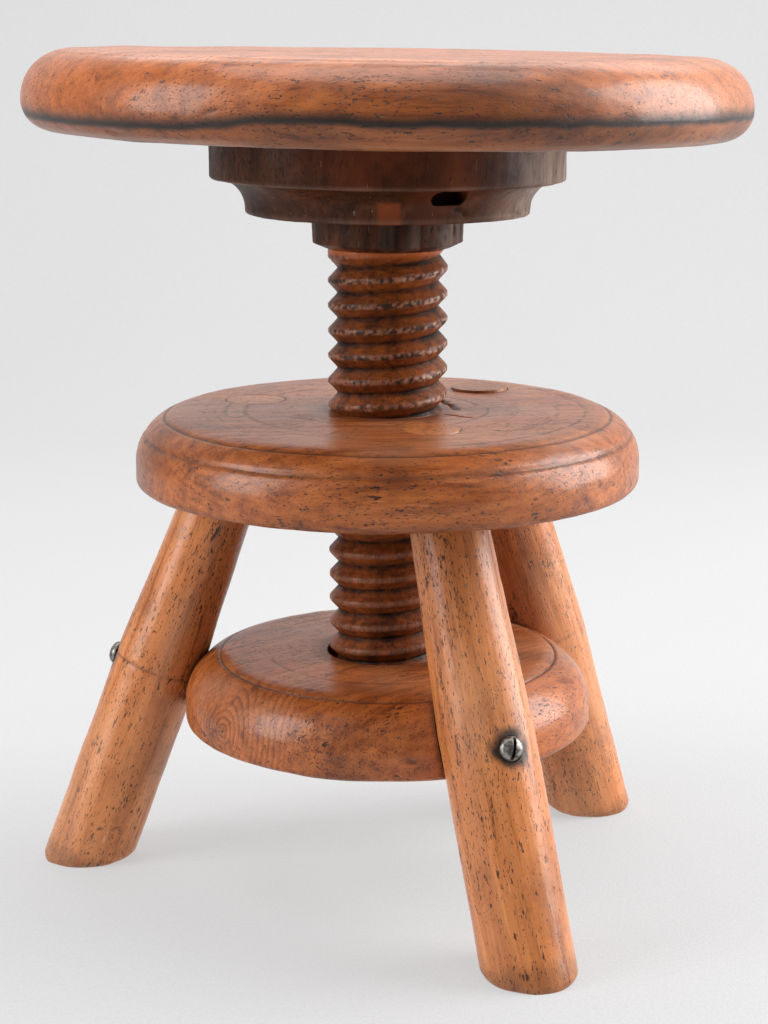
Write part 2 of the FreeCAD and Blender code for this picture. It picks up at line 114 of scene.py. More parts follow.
# A mark is a jagged line on a surface, with a width, a depth and a darkness.
def crack(start, end, seed, width, depth, dark, bend=1.2, steps=6):
    rng = np.random.default_rng(seed)
    start = np.array(start, float)
    run = np.array(end, float) - start
    line = [start + run * k / steps for k in range(steps + 1)]
    for k in range(1, steps):
        line[k] = line[k] + rng.normal(0, bend * 0.4, 3)
    return {"line": line, "width": width, "depth": depth, "dark": dark}


def drawn(rng, span):  # from a span, or the one number given
    return rng.uniform(*span) if isinstance(span, tuple) else span


def scatter(rng, count, pick, seed, bend, width, depth, dark):  # pick draws a start and an end
    marks = []
    for k in range(count):
        start, end = pick()
        marks.append(crack(start, end, seed + k, drawn(rng, width), drawn(rng, depth), drawn(rng, dark), bend, 3))
    return marks


def scatterRound(rng, count, radius, levels, turn, drop, seed, bend, width, depth, dark):
    def pick():
        angle = rng.uniform(0, 360)
        level = rng.uniform(*levels)
        return onRim(radius, angle, level), onRim(radius, angle + rng.normal(0, turn), level + rng.normal(0, drop))
    return scatter(rng, count, pick, seed, bend, width, depth, dark)


def markField(points, marks):
    depth = np.zeros(points.shape[:-1])
    dark = np.zeros(points.shape[:-1])
    for mark in marks:
        line = mark["line"]
        for a, b in zip(line[:-1], line[1:]):
            reach = mark["width"] * 4
            near = np.all((points > np.minimum(a, b) - reach) & (points < np.maximum(a, b) + reach), axis=-1)
            if not near.any():
                continue
            fall = hump(awayFrom(points[near], a, b), mark["width"])
            depth[near] = np.maximum(depth[near], fall * mark["depth"])
            dark[near] = np.maximum(dark[near], fall * mark["dark"])
    return depth, dark


weld = 0.004  # points nearer than this become one


def mergePoints(mesh, distance):
    work = bmesh.new()
    work.from_mesh(mesh)
    bmesh.ops.remove_doubles(work, verts=work.verts, dist=distance * mm)
    bmesh.ops.dissolve_degenerate(work, edges=work.edges, dist=distance * mm * 0.5)
    bmesh.ops.recalc_face_normals(work, faces=work.faces)
    work.to_mesh(mesh)
    work.free()


def smooth(mesh, sharp=38):  # edges sharper than this angle stay crisp
    mesh.shade_smooth()
    mesh.set_sharp_from_angle(angle=math.radians(sharp))


def makeMesh(name, points, faces, place=None, sharp=38, merge=0.0):
    mesh = bpy.data.meshes.new(name)
    mesh.from_pydata((np.asarray(points) * mm).tolist(), [], faces)
    mesh.validate()
    if merge:
        mergePoints(mesh, merge)
    smooth(mesh, sharp)
    piece = bpy.data.objects.new(name, mesh)
    bpy.context.scene.collection.objects.link(piece)
    if place is not None:
        piece.matrix_world = place
    return piece


def gridFaces(rows, columns):
    first = np.arange(rows - 1)[:, None] * columns
    this = np.arange(columns)[None, :]
    following = (this + 1) % columns
    corners = [first + this, first + following, first + columns + following, first + columns + this]
    return np.stack(corners, -1).reshape(-1, 4)


def straight(a, b, step):
    count = max(1, round(math.dist(a, b) / step))
    return [(a[0] + (b[0] - a[0]) * k / count, a[1] + (b[1] - a[1]) * k / count) for k in range(count)]


def arcLine(centre, radius, start, end, step, squash=1.0):
    count = max(3, round(abs(math.radians(end - start)) * radius / step))
    turns = [math.radians(start + (end - start) * k / count) for k in range(count)]
    return [(centre[0] + radius * math.cos(a), centre[1] + radius * squash * math.sin(a)) for a in turns]


# A turned piece: an outline of (radius, height) spun round, then worked on point by point.
class Turned:
    def __init__(self, outline, columns):
        outline = np.array(outline, float)
        self.columns = columns
        self.rows = len(outline)
        self.radius = np.repeat(outline[:, :1], columns, 1)
        self.height = np.repeat(outline[:, 1:], columns, 1)
        self.angle = np.repeat(np.arange(columns)[None, :] * 2 * math.pi / columns, self.rows, 0)
        run = np.gradient(outline, axis=0)
        run /= np.maximum(np.linalg.norm(run, axis=1, keepdims=True), 1e-9)
        self.outward = np.repeat(run[:, 1:2], columns, 1)
        self.upward = np.repeat(-run[:, :1], columns, 1)

    def points(self):
        return np.stack([self.radius * np.cos(self.angle), self.radius * np.sin(self.angle), self.height], -1)

    def push(self, amount):  # outwards along the surface's normal
        self.radius = np.maximum(self.radius + self.outward * amount * (self.radius > 0.01), 0)
        self.height = self.height + self.upward * amount

    def wear(self, seed, size=26, depth=0.28, fine=0.05):
        spots = self.points()
        self.push(noiseAt(spots, size, seed) * depth + noiseAt(spots, size * 0.34, seed + 1) * depth * 0.35
                  + noiseAt(spots, 2.6, seed + 2) * fine)

    def mark(self, marks):
        depth, _ = markField(self.points(), marks)
        self.push(-depth)

    def piece(self, name, place=None, change=None):
        spots = self.points().reshape(-1, 3)
        if change is not None:
            spots = change(spots)
        return makeMesh(name, spots, gridFaces(self.rows, self.columns).tolist(), place, merge=weld)


def cutAway(piece, cutters):
    for cutter in cutters:
        # The quick solver wants closed meshes; the slow one takes over if it gives up.
        for solver in ("MANIFOLD", "EXACT"):
            cut = piece.modifiers.new("cut", "BOOLEAN")
            cut.operation = "DIFFERENCE"
            cut.solver = solver
            cut.object = cutter
            bpy.context.view_layer.update()
            graph = bpy.context.evaluated_depsgraph_get()
            done = bpy.data.meshes.new_from_object(piece.evaluated_get(graph))
            piece.modifiers.clear()
            if len(done.vertices) > 8 and len(done.vertices) != len(piece.data.vertices):
                break
            print("the quick cut gave up on", piece.name)
        old = piece.data
        piece.data = done
        bpy.data.meshes.remove(old)
        bpy.data.objects.remove(cutter)
    piece.data.materials.clear()
    piece.data.polygons.foreach_set("material_index", np.zeros(len(piece.data.polygons), np.int32))
    smooth(piece.data)


def rod(name, radius, low, high, place, columns=96):
    outline = [(0, low), (radius, low), (radius, high), (0, high)]
    return Turned(outline, columns).piece(name, place)


def paint(piece, name, values):
    layer = piece.data.attributes.new(name, "FLOAT", "POINT")
    layer.data.foreach_set("value", np.clip(values, 0, 1).astype(np.float32))


def pointsOf(piece):
    spots = np.zeros(len(piece.data.vertices) * 3, np.float32)
    piece.data.vertices.foreach_get("co", spots)
    return spots.reshape(-1, 3).astype(float) / mm


def rgb(red, green, blue):  # a colour as seen, 0 to 255, as the shader wants it
    def flat(c):
        c /= 255
        return c / 12.92 if c <= 0.04045 else ((c + 0.055) / 1.055) ** 2.4
    return (flat(red), flat(green), flat(blue), 1.0)


# Wraps one socket, so that shader maths reads as maths.
class Flow:
    def __init__(self, tree, socket):
        self.tree = tree
        self.socket = socket

    def math(self, operation, *others, swap=False):
        values = [self, *others]
        if swap:
            values.reverse()
        return self.tree.add("ShaderNodeMath", {"operation": operation}, dict(enumerate(values)))

    def __add__(self, other):
        return self.math("ADD", other)

    def __sub__(self, other):
        return self.math("SUBTRACT", other)

    def __rsub__(self, other):
        return self.math("SUBTRACT", other, swap=True)

    def __mul__(self, other):
        return self.math("MULTIPLY", other)

    def __truediv__(self, other):
        return self.math("DIVIDE", other)

    __radd__ = __add__
    __rmul__ = __mul__

    def between(self, low, high):  # 0 below low, 1 above high, smooth between
        return self.tree.add("ShaderNodeMapRange", {"interpolation_type": "SMOOTHSTEP"},
                             {"Value": self, "From Min": low, "From Max": high})


class Finish:
    def __init__(self, name):
        self.material = bpy.data.materials.new(name)
        self.material.use_nodes = True
        self.nodes = self.material.node_tree.nodes
        self.links = self.material.node_tree.links
        self.shader = self.nodes["Principled BSDF"]

    def add(self, kind, settings=None, inputs=None, output=0):
        node = self.nodes.new(kind)
        for key, value in (settings or {}).items():
            setattr(node, key, value)
        for key, value in (inputs or {}).items():
            self.plug(node.inputs[key], value)
        return Flow(self, node.outputs[output])

    def plug(self, socket, value):
        if isinstance(value, Flow):
            self.links.new(value.socket, socket)
        else:
            socket.default_value = value

    def vector(self, operation, first, second):
        return self.add("ShaderNodeVectorMath", {"operation": operation}, {0: first, 1: second})

    def scaled(self, first, amount):
        return self.add("ShaderNodeVectorMath", {"operation": "SCALE"}, {0: first, "Scale": amount})

    def dot(self, first, second):
        return self.add("ShaderNodeVectorMath", {"operation": "DOT_PRODUCT"}, {0: first, 1: second}, "Value")

    def blend(self, share, first, second):
        return self.add("ShaderNodeMix", {"data_type": "RGBA"}, {"Factor": share, 6: first, 7: second}, 2)

    def noise(self, at, scale, detail=3.0, rough=0.55):
        return self.add("ShaderNodeTexNoise", {}, {
            "Vector": at, "Scale": scale, "Detail": detail, "Roughness": rough})

    def attribute(self, name):
        return self.add("ShaderNodeAttribute", {"attribute_name": name}, {}, "Fac")

    def finish(self, colour, rough, height=None, strength=0.35, distance=0.0004):
        self.plug(self.shader.inputs["Base Color"], colour)
        self.plug(self.shader.inputs["Roughness"], rough)
        if height is not None:
            bump = self.add("ShaderNodeBump", {}, {"Strength": strength, "Distance": distance, "Height": height})
            self.plug(self.shader.inputs["Normal"], bump)
        return self.material


# Old waxed wood.  The growth rings lie round a line, so that a face shows long grain, arcs or
# end grain according to how it is cut.  Lengths are in millimetres.
woodSettings = {
    "pale": rgb(196, 112, 54), "middle": rgb(156, 80, 32), "deep": rgb(84, 35, 12), "sootAndShade": rgb(22, 12, 8),
    "worn": rgb(212, 160, 128), "warm": rgb(178, 92, 40), "pith": (0.0, 0.0, -60.0), "along": (1.0, 0.0, 0.0),
    "ring": 5.0, "wobble": 4.0, "ringShow": 0.4, "ringReach": 900.0, "fibre": 0.6, "poreShow": 0.8,
    "speckShow": 0.85, "blotch": 0.5, "gloss": 0.24, "coat": 0.26, "shine": 0.4, "bump": 0.4, "seed": 0.0}


def makeWood(name, **changes):
    s = {**woodSettings, **changes}
    f = Finish(name)
    at = f.add("ShaderNodeTexCoord", {}, {}, "Object")
    at = f.scaled(at, 1 / mm)
    shift = f.vector("ADD", at, (s["seed"] * 37.0, s["seed"] * 11.0, s["seed"] * 23.0))
    # Where the point lies along the grain and across it.
    grain = tuple(Vector(s["along"]).normalized())
    fromPith = f.vector("SUBTRACT", at, s["pith"])
    length = f.dot(fromPith, grain)
    across = f.vector("SUBTRACT", fromPith, f.scaled(grain, length))
    reach = f.add("ShaderNodeVectorMath", {"operation": "LENGTH"}, {0: across}, "Value")

    def stretched(share):  # a place that changes slowly along the grain
        away = f.vector("ADD", across, f.scaled(grain, length * share))
        return f.vector("ADD", away, (s["seed"] * 7.0, 3.0, 5.0))

    fibreAt, streakAt, dashAt, slowAt = stretched(0.035), stretched(0.06), stretched(0.3), stretched(0.25)
    bend = f.noise(slowAt, 0.018, 3.0, 0.5) * s["wobble"] + f.noise(slowAt, 0.09, 2.0, 0.5) * s["wobble"] * 0.25
    ringPart = ((reach + bend) / s["ring"]).math("FRACT")
    late = ringPart.between(0.35, 0.96) * (1 - ringPart.between(0.965, 1.0))
    inside = 1 - reach.between(s["ringReach"] * 0.5, s["ringReach"])
    fade = f.noise(slowAt, 0.05, 2.0, 0.5).between(0.3, 0.62) * inside
    fibre = f.noise(fibreAt, 1.1, 5.0, 0.68)
    streak = f.noise(streakAt, 0.2, 5.0, 0.65)
    tone = streak * 0.7 + fibre * 0.3
    colour = f.blend(tone.between(0.36, 0.66), s["middle"], s["pale"])
    colour = f.blend(tone.between(0.47, 0.30) * 0.75, colour, s["deep"])
    colour = f.blend(late * fade * s["ringShow"], colour, s["deep"])
    colour = f.blend(fibre.between(0.54, 0.72) * s["fibre"], colour, s["deep"])
    # Open pores are short dark dashes along the grain, thicker in places.
    crowd = f.noise(shift, 0.03, 3.0, 0.6)
    dash = f.noise(dashAt, 1.25, 3.0, 0.6) + (crowd - 0.5) * 0.22
    pores = dash.between(0.60, 0.655) * s["poreShow"]
    colour = f.blend(pores, colour, s["sootAndShade"])
    patches = f.noise(shift, 0.024, 5.0, 0.62)
    smudge = f.noise(stretched(0.4), 0.07, 5.0, 0.7)
    colour = f.blend(patches.between(0.5, 0.70) * s["blotch"], colour, s["deep"])
    colour = f.blend(smudge.between(0.56, 0.72) * s["blotch"] * 0.8, colour, s["deep"])
    # Knocks and grime, then the painted layers: a warm tone with a painted glow, pale wear with a painted sheen,
    # and dirt with painted shade.
    knock = f.noise(dashAt, 0.42, 4.0, 0.72) + (f.noise(shift, 0.05, 2.0, 0.5) - 0.5) * 0.25
    specks = knock.between(0.615, 0.655) * s["speckShow"]
    colour = f.blend(specks, colour, s["sootAndShade"])
    scratch = f.noise(stretched(0.08), 0.8, 2.0, 0.5).between(0.70, 0.76) * 0.35
    colour = f.blend(scratch, colour, s["worn"])
    # This layer paints a warm tone, and in places a painted warm glow and reflection.
    warm = f.attribute("warm")
    colour = f.blend(warm, colour, s["warm"])
    # This layer paints pale wear, and painted sheen and highlights on lit edges and sides.
    worn = f.attribute("worn") * (0.45 + fibre * 0.9)
    colour = f.blend(worn.math("MINIMUM", 1.0), colour, s["worn"])
    # This layer darkens towards the soot colour: real dirt, and painted shade on undersides, in recesses, corners
    # and screw slots.
    dirtAndShade = f.attribute("dirtAndShade").math("MINIMUM", 1.0)
    colour = f.blend(dirtAndShade, colour, s["sootAndShade"])
    rough = s["gloss"] + fibre * 0.16 + smudge * 0.14 + dirtAndShade * 0.2 + pores * 0.25
    grit = f.noise(shift, 0.5, 4.0, 0.65)
    height = fibre * 0.6 - pores * 0.8 - specks * 0.9 - late * 0.15 + grit * 0.5
    f.shader.inputs["Coat Weight"].default_value = s["coat"]
    f.shader.inputs["Coat Roughness"].default_value = 0.2
    f.shader.inputs["Specular IOR Level"].default_value = s["shine"]
    return f.finish(colour, rough, height, s["bump"])


def makeSteel(name):
    f = Finish(name)
    at = f.add("ShaderNodeTexCoord", {}, {}, "Object")
    cloud = f.noise(at, 420.0, 4.0, 0.6)
    scratch = f.noise(f.vector("MULTIPLY", at, (2600.0, 300.0, 300.0)), 1.0, 2.0, 0.5)
    colour = f.blend(cloud.between(0.35, 0.65), rgb(84, 78, 72), rgb(170, 166, 160))
    colour = f.blend(f.attribute("dirtAndShade").math("MINIMUM", 1.0), colour, rgb(22, 16, 13))
    f.plug(f.shader.inputs["Metallic"], 0.92)
    return f.finish(colour, 0.3 + cloud * 0.22, scratch * 0.5 + cloud, 0.3, 0.0001)


seat = {
    "radius": 170.0, "topRound": 22.5, "lowRound": 13.2, "crown": 1.4, "lean": 0.0154, "columns": 560,
    "darkBand": 378.6, "bandWidth": 4.2, "bandWidthBelow": 2.2}


def leanSeat(spots):  # the seat has sunk a little on its +X side
    spots = spots.copy()
    spots[:, 2] -= spots[:, 0] * seat["lean"]
    return spots


def seatMarks():
    r = seat["radius"]

    def onEdge(start, end, *rest):  # start and end are (angle, height)
        return crack(onRim(r, *start), onRim(r, *end), *rest)

    marks = [
        onEdge((-38.7, 400.5), (-31.6, 394.3), 1, 0.7, 0.8, 1.0),
        onEdge((-104.0, 400.0), (-103.0, 393.1), 2, 0.8, 0.35, 0.8),
        onEdge((-98.5, 388.5), (-98.4, 384.3), 3, 0.5, 0.3, 0.8, 0.5),
        onEdge((-91.7, 388.2), (-89.7, 386.3), 4, 0.8, 0.3, 0.8, 0.5),
        onEdge((-90.4, 399.0), (-89.4, 395.9), 5, 0.9, 0.4, 0.8, 0.5),
        onEdge((-118.2, 391.1), (-118.3, 386.3), 6, 0.5, 0.3, 0.7, 0.5),
        onEdge((-124.2, 397.2), (-122.4, 395.2), 7, 0.7, 0.3, 0.8, 0.5),
        crack(onRim(r - 2, -136.8, 371.1), onRim(r - 3, -131.2, 369.7), 8, 1.6, 0.9, 0.7)]
    rng = np.random.default_rng(21)
    marks += scatterRound(rng, 46, r, (seatLow + 8, seatHigh - 6), 1.4, 2.0, 100, 0.6,
                          (0.35, 0.8), (0.1, 0.4), (0.3, 0.9))

    def acrossTop():
        x, y = rng.uniform(-120, 120, 2)
        run = rng.normal(0, 12, 2)
        return (x, y, seatHigh), (x + run[0], y + run[1] * 0.3, seatHigh)

    return marks + scatter(rng, 40, acrossTop, 200, 1.0, (0.3, 0.6), (0.08, 0.25), (0.2, 0.6))


def makeSeat():
    s = seat
    flat = s["radius"] - s["topRound"]
    lowFlat = s["radius"] - s["lowRound"]
    outline = (straight((0, seatLow), (lowFlat, seatLow), 5.0)
               + arcLine((lowFlat, seatLow + s["lowRound"]), s["lowRound"], -90, 0, 0.9)
               + arcLine((flat, seatHigh - s["topRound"]), s["topRound"], 0, 90, 0.9)
               + straight((flat, seatHigh), (0, seatHigh), 2.4) + [(0, seatHigh)])
    body = Turned(outline, s["columns"])
    crown = s["crown"] * (1 - (body.radius / s["radius"]) ** 2) * (body.height > seatHigh - 1)
    body.height = body.height + crown
    body.wear(11, 34, 0.35, 0.05)
    marks = seatMarks()
    body.mark(marks)
    made = body.piece("seat_top", change=leanSeat)
    spots = pointsOf(made)
    spots[:, 2] += spots[:, 0] * s["lean"]
    _, dark = markField(spots, marks)
    height, radius, around = spots[:, 2], reachOf(spots), aroundOf(spots)
    rim = ramp(radius, 140, 160)
    drift = noiseAt(spots * (1, 1, 0.4), 40, 31) * 0.9 + noiseAt(spots, 9, 32) * 0.6
    above = height - s["darkBand"] + drift + 4.4 * ramp(-spots[:, 0], 20, 110)
    band = hump(above, np.where(above > 0, s["bandWidth"], s["bandWidthBelow"])) * rim
    low = ramp(height, s["darkBand"], s["darkBand"] - 2.0) * rim * (0.42 + 0.2 * noiseAt(spots, 22, 36))
    # Painted shade on the underside.
    under = ramp(height, seatLow + 0.6, seatLow - 0.4) * 0.5
    # Handled patina, darkest a little right of the middle of the front edge.
    smear = noiseAt(spots * (1, 1, 2.2), 26, 33) * 0.5 + noiseAt(spots * (1, 1, 2.2), 9, 34) * 0.35
    handled = hump(around + 76, 22) * rim * np.clip(0.34 + smear * 0.4, 0, 1)
    paint(made, "dirtAndShade", np.maximum.reduce([dark, handled, band, low + under]))
    # Paler top rounding: a painted highlight. The pale line on the lower edge is wear.
    edge = ramp(height, seatHigh - 5.0, seatHigh - 1.0) * rim * ramp(radius, 141, 150)
    lowEdge = hump(height - seatLow - 1.6, 1.0) * rim * 0.5
    # A painted warm glow on the upper left of the edge.
    glow = ramp(around, -100, -150) * ramp(height, seatHigh + 4, seatHigh - 10) * rim * 0.35
    paint(made, "warm", glow * (0.6 + 0.4 * noiseAt(spots, 12, 35)))
    # The right of the front edge also gets a painted sheen.
    paint(made, "worn", np.maximum(edge * 0.12, lowEdge) + ramp(around, -62, -30) * rim * 0.12)
    made.data.materials.append(makeWood(
        "seatWood", pith=(0.0, 160.0, -330.0), along=(1.0, 0.1, 0.01), ring=4.6, wobble=9.0, ringShow=0.3,
        seed=1.0))
    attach(made, "seat_assembly")
    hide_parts("seat")


makeSeat()
print("seat made")


boss = {
    "drum": 84.0, "drumLow": 345.2, "drumRound": 1.0, "flare": 0.3, "lip": 67.4, "lipRound": 1.3, "cove": 13.8,
    "bore": 22.1, "columns": 420, "lean": 0.004, "holeAngle": -67.4, "holeHeight": 341.0, "holeWide": 17.0,
    "holeTall": 7.2, "holeDeep": 27.0}


def leanBoss(spots):
    share = np.clip((spots[:, 2] - bossLow) / (bossHigh - bossLow), 0, 1)
    spots = spots.copy()
    spots[:, 2] -= spots[:, 0] * (boss["lean"] + (seat["lean"] - boss["lean"]) * share)
    return spots


def makeBoss():
    s = boss
    lip, lipRound, cove = s["lip"], s["lipRound"], s["cove"]
    drum, drumLow, drumRound = s["drum"], s["drumLow"], s["drumRound"]
    wide = drum + s["flare"]
    outline = (straight((s["bore"], bossHigh), (s["bore"], bossLow), 4.0)
               + straight((s["bore"], bossLow), (lip - lipRound, bossLow), 2.0)
               + arcLine((lip - lipRound, bossLow + lipRound), lipRound, -90, 0, 0.5)
               + arcLine((lip + cove, drumLow - cove), cove, 180, 94, 0.9)
               + straight((lip + cove, drumLow), (drum - drumRound, drumLow), 0.8)
               + arcLine((drum - drumRound, drumLow + drumRound), drumRound, -90, 0, 0.4)
               + straight((drum, drumLow + drumRound), (wide, bossHigh), 1.2)
               + straight((wide, bossHigh), (s["bore"], bossHigh), 4.0) + [(s["bore"], bossHigh)])
    body = Turned(outline, s["columns"])
    body.wear(41, 20, 0.3, 0.08)
    marks = [
        crack(onRim(drum, -24.9, 366), onRim(drum, -24.2, 347), 51, 0.5, 0.7, 0.9, 0.8),
        crack(onRim(lip, -63.4, 335.6), onRim(lip, -59.5, 333.8), 52, 1.5, 0.9, 1.0, 0.5),
        crack(onRim(lip, -30.0, 331.6), onRim(lip, -24.3, 331.0), 53, 0.5, 0.4, 0.8, 0.4)]
    rng = np.random.default_rng(55)

    def downDrum():
        angle = rng.uniform(0, 360)
        return onRim(drum, angle, rng.uniform(356, 366)), onRim(drum, angle, rng.uniform(346, 355))

    marks += scatter(rng, 30, downDrum, 300, 0.5, (0.25, 0.5), (0.1, 0.4), (0.3, 0.8))
    body.mark(marks)
    made = body.piece("boss", change=leanBoss)
    # The oblong recess over the peg's end.
    turn = Matrix.Rotation(math.radians(s["holeAngle"]), 4, "Z")
    place = Matrix.Translation(Vector(onRim(drum, s["holeAngle"], s["holeHeight"])) * mm) @ turn
    cutAway(made, [oblong("recessCut", s["holeDeep"], s["holeWide"], s["holeTall"], place)])
    spots = pointsOf(made)
    _, dark = markField(spots, marks)
    height, radius, around = spots[:, 2], reachOf(spots), aroundOf(spots)
    hole = awayFrom(spots, *(onRim(64.0, s["holeAngle"] + side, s["holeHeight"]) for side in (-5, 5)))
    # Painted shade in the recess over the peg.
    inside = ramp(hole, 9.0, 5.5) * 0.45
    sootAndShade = 0.32 + noiseAt(spots * (1, 1, 0.5), 16, 61) * 0.34 + noiseAt(spots, 5, 62) * 0.14
    # Painted light and shade: less dark on the lit right side, darker on the left.
    sootAndShade = sootAndShade - ramp(around, -62, -28) * 0.34 + ramp(around, -120, -165) * 0.2
    # Painted shade in the corner where the cove meets the drum's underside.
    corner = hump(height - drumLow, 0.9) * ramp(radius, 84, 80) * 0.5
    paint(made, "dirtAndShade", np.maximum.reduce([dark, sootAndShade, inside, corner]))
    farSide = ramp(around, 40, 0)
    # Pale grey on the lit right side: a painted sheen, with some wear.
    greySheen = ramp(around, -62, -22) * farSide * ramp(height, 343, 348) * 0.8
    greySheenLow = ramp(around, -56, -20) * farSide * 0.55
    grain = 0.6 + 0.4 * noiseAt(spots * (1, 1, 0.12), 2.2, 63)
    lipEdge = hump(height - bossLow - 1.4, 1.0) * ramp(radius, 64, 66) * 0.2
    drumEdge = hump(height - drumLow - 0.8, 0.7) * ramp(radius, 82.5, 83.5) * 0.22
    paint(made, "worn", np.maximum(greySheen, greySheenLow) * grain + lipEdge + drumEdge)
    # A painted warm reflection on the front of the lip.
    warmGlint = ramp(around, -94.5, -93) * ramp(around, -84.5, -86) * ramp(height, 339.5, 338.5) * ramp(radius, 64, 66)
    reddish = hump(around + 92, 30) * np.clip(0.45 + noiseAt(spots, 18, 64) * 0.6, 0, 1) * 0.8
    paint(made, "warm", np.maximum(warmGlint, reddish))
    made.data.materials.append(makeWood(
        "bossWood", pale=rgb(100, 56, 30), middle=rgb(70, 36, 19), deep=rgb(38, 19, 10), worn=rgb(196, 170, 154),
        warm=rgb(138, 66, 28), pith=(20.0, 10.0, 200.0), along=(0.08, 0.1, 1.0), ring=5.0, fibre=0.7, gloss=0.3,
        coat=0.06, shine=0.12, seed=2.0))
    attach(made, "seat_assembly")
    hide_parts("seat_boss")


def oblong(name, depth, wide, tall, place, proud=12.0, columns=40):
    # A rounded slot that reaches in from the surface, its length along Y.
    turns = [2 * math.pi * k / columns for k in range(columns)]
    spots = [(x, math.copysign((wide - tall) / 2, math.cos(a)) + math.cos(a) * tall / 2, math.sin(a) * tall / 2)
             for x in (-depth, proud) for a in turns]
    faces = gridFaces(2, columns).tolist()
    faces += [list(range(columns))[::-1], list(range(columns, 2 * columns))]
    return makeMesh(name, spots, faces, place, merge=weld)


makeBoss()
print("boss made")


peg = {"radius": 4.0, "chamfer": 0.8, "reach": 57.0, "angle": -67.0, "columns": 48}


def makePeg():
    s = peg
    radius, chamfer, reach = s["radius"], s["chamfer"], s["reach"]
    low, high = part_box("tenon_peg")
    turn = Matrix.Rotation(math.radians(s["angle"]), 4, "Z") @ Matrix.Rotation(math.radians(90), 4, "Y")
    place = Matrix.Translation(Vector((0, 0, (low.z + high.z) / 2))) @ turn
    flat = radius - chamfer
    outline = (straight((0, -reach), (flat, -reach), 0.8)
               + arcLine((flat, -reach + chamfer), chamfer, -90, 0, 0.4)
               + straight((radius, -reach + chamfer), (radius, reach - chamfer), 2.0)
               + arcLine((flat, reach - chamfer), chamfer, 0, 90, 0.4)
               + straight((flat, reach), (0, reach), 0.8) + [(0, reach)])
    body = Turned(outline, s["columns"])
    body.wear(71, 6, 0.12, 0.05)
    made = body.piece("peg", place)
    paint(made, "dirtAndShade", np.full(len(made.data.vertices), 0.45))
    paint(made, "worn", np.zeros(len(made.data.vertices)))
    made.data.materials.append(makeWood(
        "pegWood", pale=rgb(110, 72, 46), middle=rgb(78, 46, 28), along=(0.0, 0.0, 1.0), pith=(2.0, 6.0, 0.0),
        ring=2.0, gloss=0.5, coat=0.0, seed=3.0))
    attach(made, "seat_assembly")
    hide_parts("tenon_peg")


def slotCut(name, wide, deep, top, reach, place):
    half = wide / 2
    corners = ((-reach, -half), (reach, -half), (reach, half), (-reach, half))
    spots = [(x, y, z) for z in (top - deep, top + 4) for x, y in corners]
    faces = [[3, 2, 1, 0], [4, 5, 6, 7], [0, 1, 5, 4], [1, 2, 6, 5], [2, 3, 7, 6], [3, 0, 4, 7]]
    return makeMesh(name, spots, faces, place)


steel = makeSteel("screwSteel")


def finishScrew(made, node, body, slotLow):
    spots = pointsOf(made)
    # Painted shade in the slot.
    slotShade = ramp(np.abs(spots[:, 1]), 1.0, 0.7) * ramp(np.abs(spots[:, 2] - slotLow), 1.2, 0.8)
    shank = ramp(reachOf(spots), 3.2, 2.6)
    paint(made, "dirtAndShade", np.maximum(slotShade, shank * 0.4) * 0.8)
    made.data.materials.append(steel)
    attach(made, body)
    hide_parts(node)


seatScrew = {
    "head": 5.0, "rim": 0.3, "edge": 0.5, "cone": 3.2, "shank": 2.2, "length": 52.0, "point": 7.0,
    "slotWide": 1.3, "slotDeep": 1.3, "columns": 40}


def makeSeatScrews():
    s = seatScrew
    pointAt = s["length"] - s["point"]
    outline = (straight((0, 0), (s["head"] - s["rim"], 0), 0.7) + [(s["head"], s["rim"])]
               + straight((s["head"], s["edge"]), (s["shank"], s["cone"]), 0.7)
               + straight((s["shank"], s["cone"]), (s["shank"], pointAt), 3.0)
               + straight((s["shank"], pointAt), (0, s["length"]), 2.0) + [(0, s["length"])])
    for k in range(4):
        node = f"boss_screw_{k + 1}"
        low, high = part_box(node)
        place = Matrix.Translation(Vector(((low.x + high.x) / 2, (low.y + high.y) / 2, low.z)))
        made = Turned(outline, s["columns"]).piece(f"seatScrew{k + 1}", place)
        flip = place @ Matrix.Rotation(math.pi, 4, "X")
        cutAway(made, [slotCut("slotCut", s["slotWide"], s["slotDeep"], 0.0, 9.0, flip)])
        finishScrew(made, node, "seat_assembly", 0.6)


makePeg()
makeSeatScrews()
print("peg and seat screws made")


collar = {
    "radius": 35.9, "flare": 0.2, "bore": 22.1, "chamfer": 6.0, "rise": 2.6, "edge": 0.5, "columns": 260}


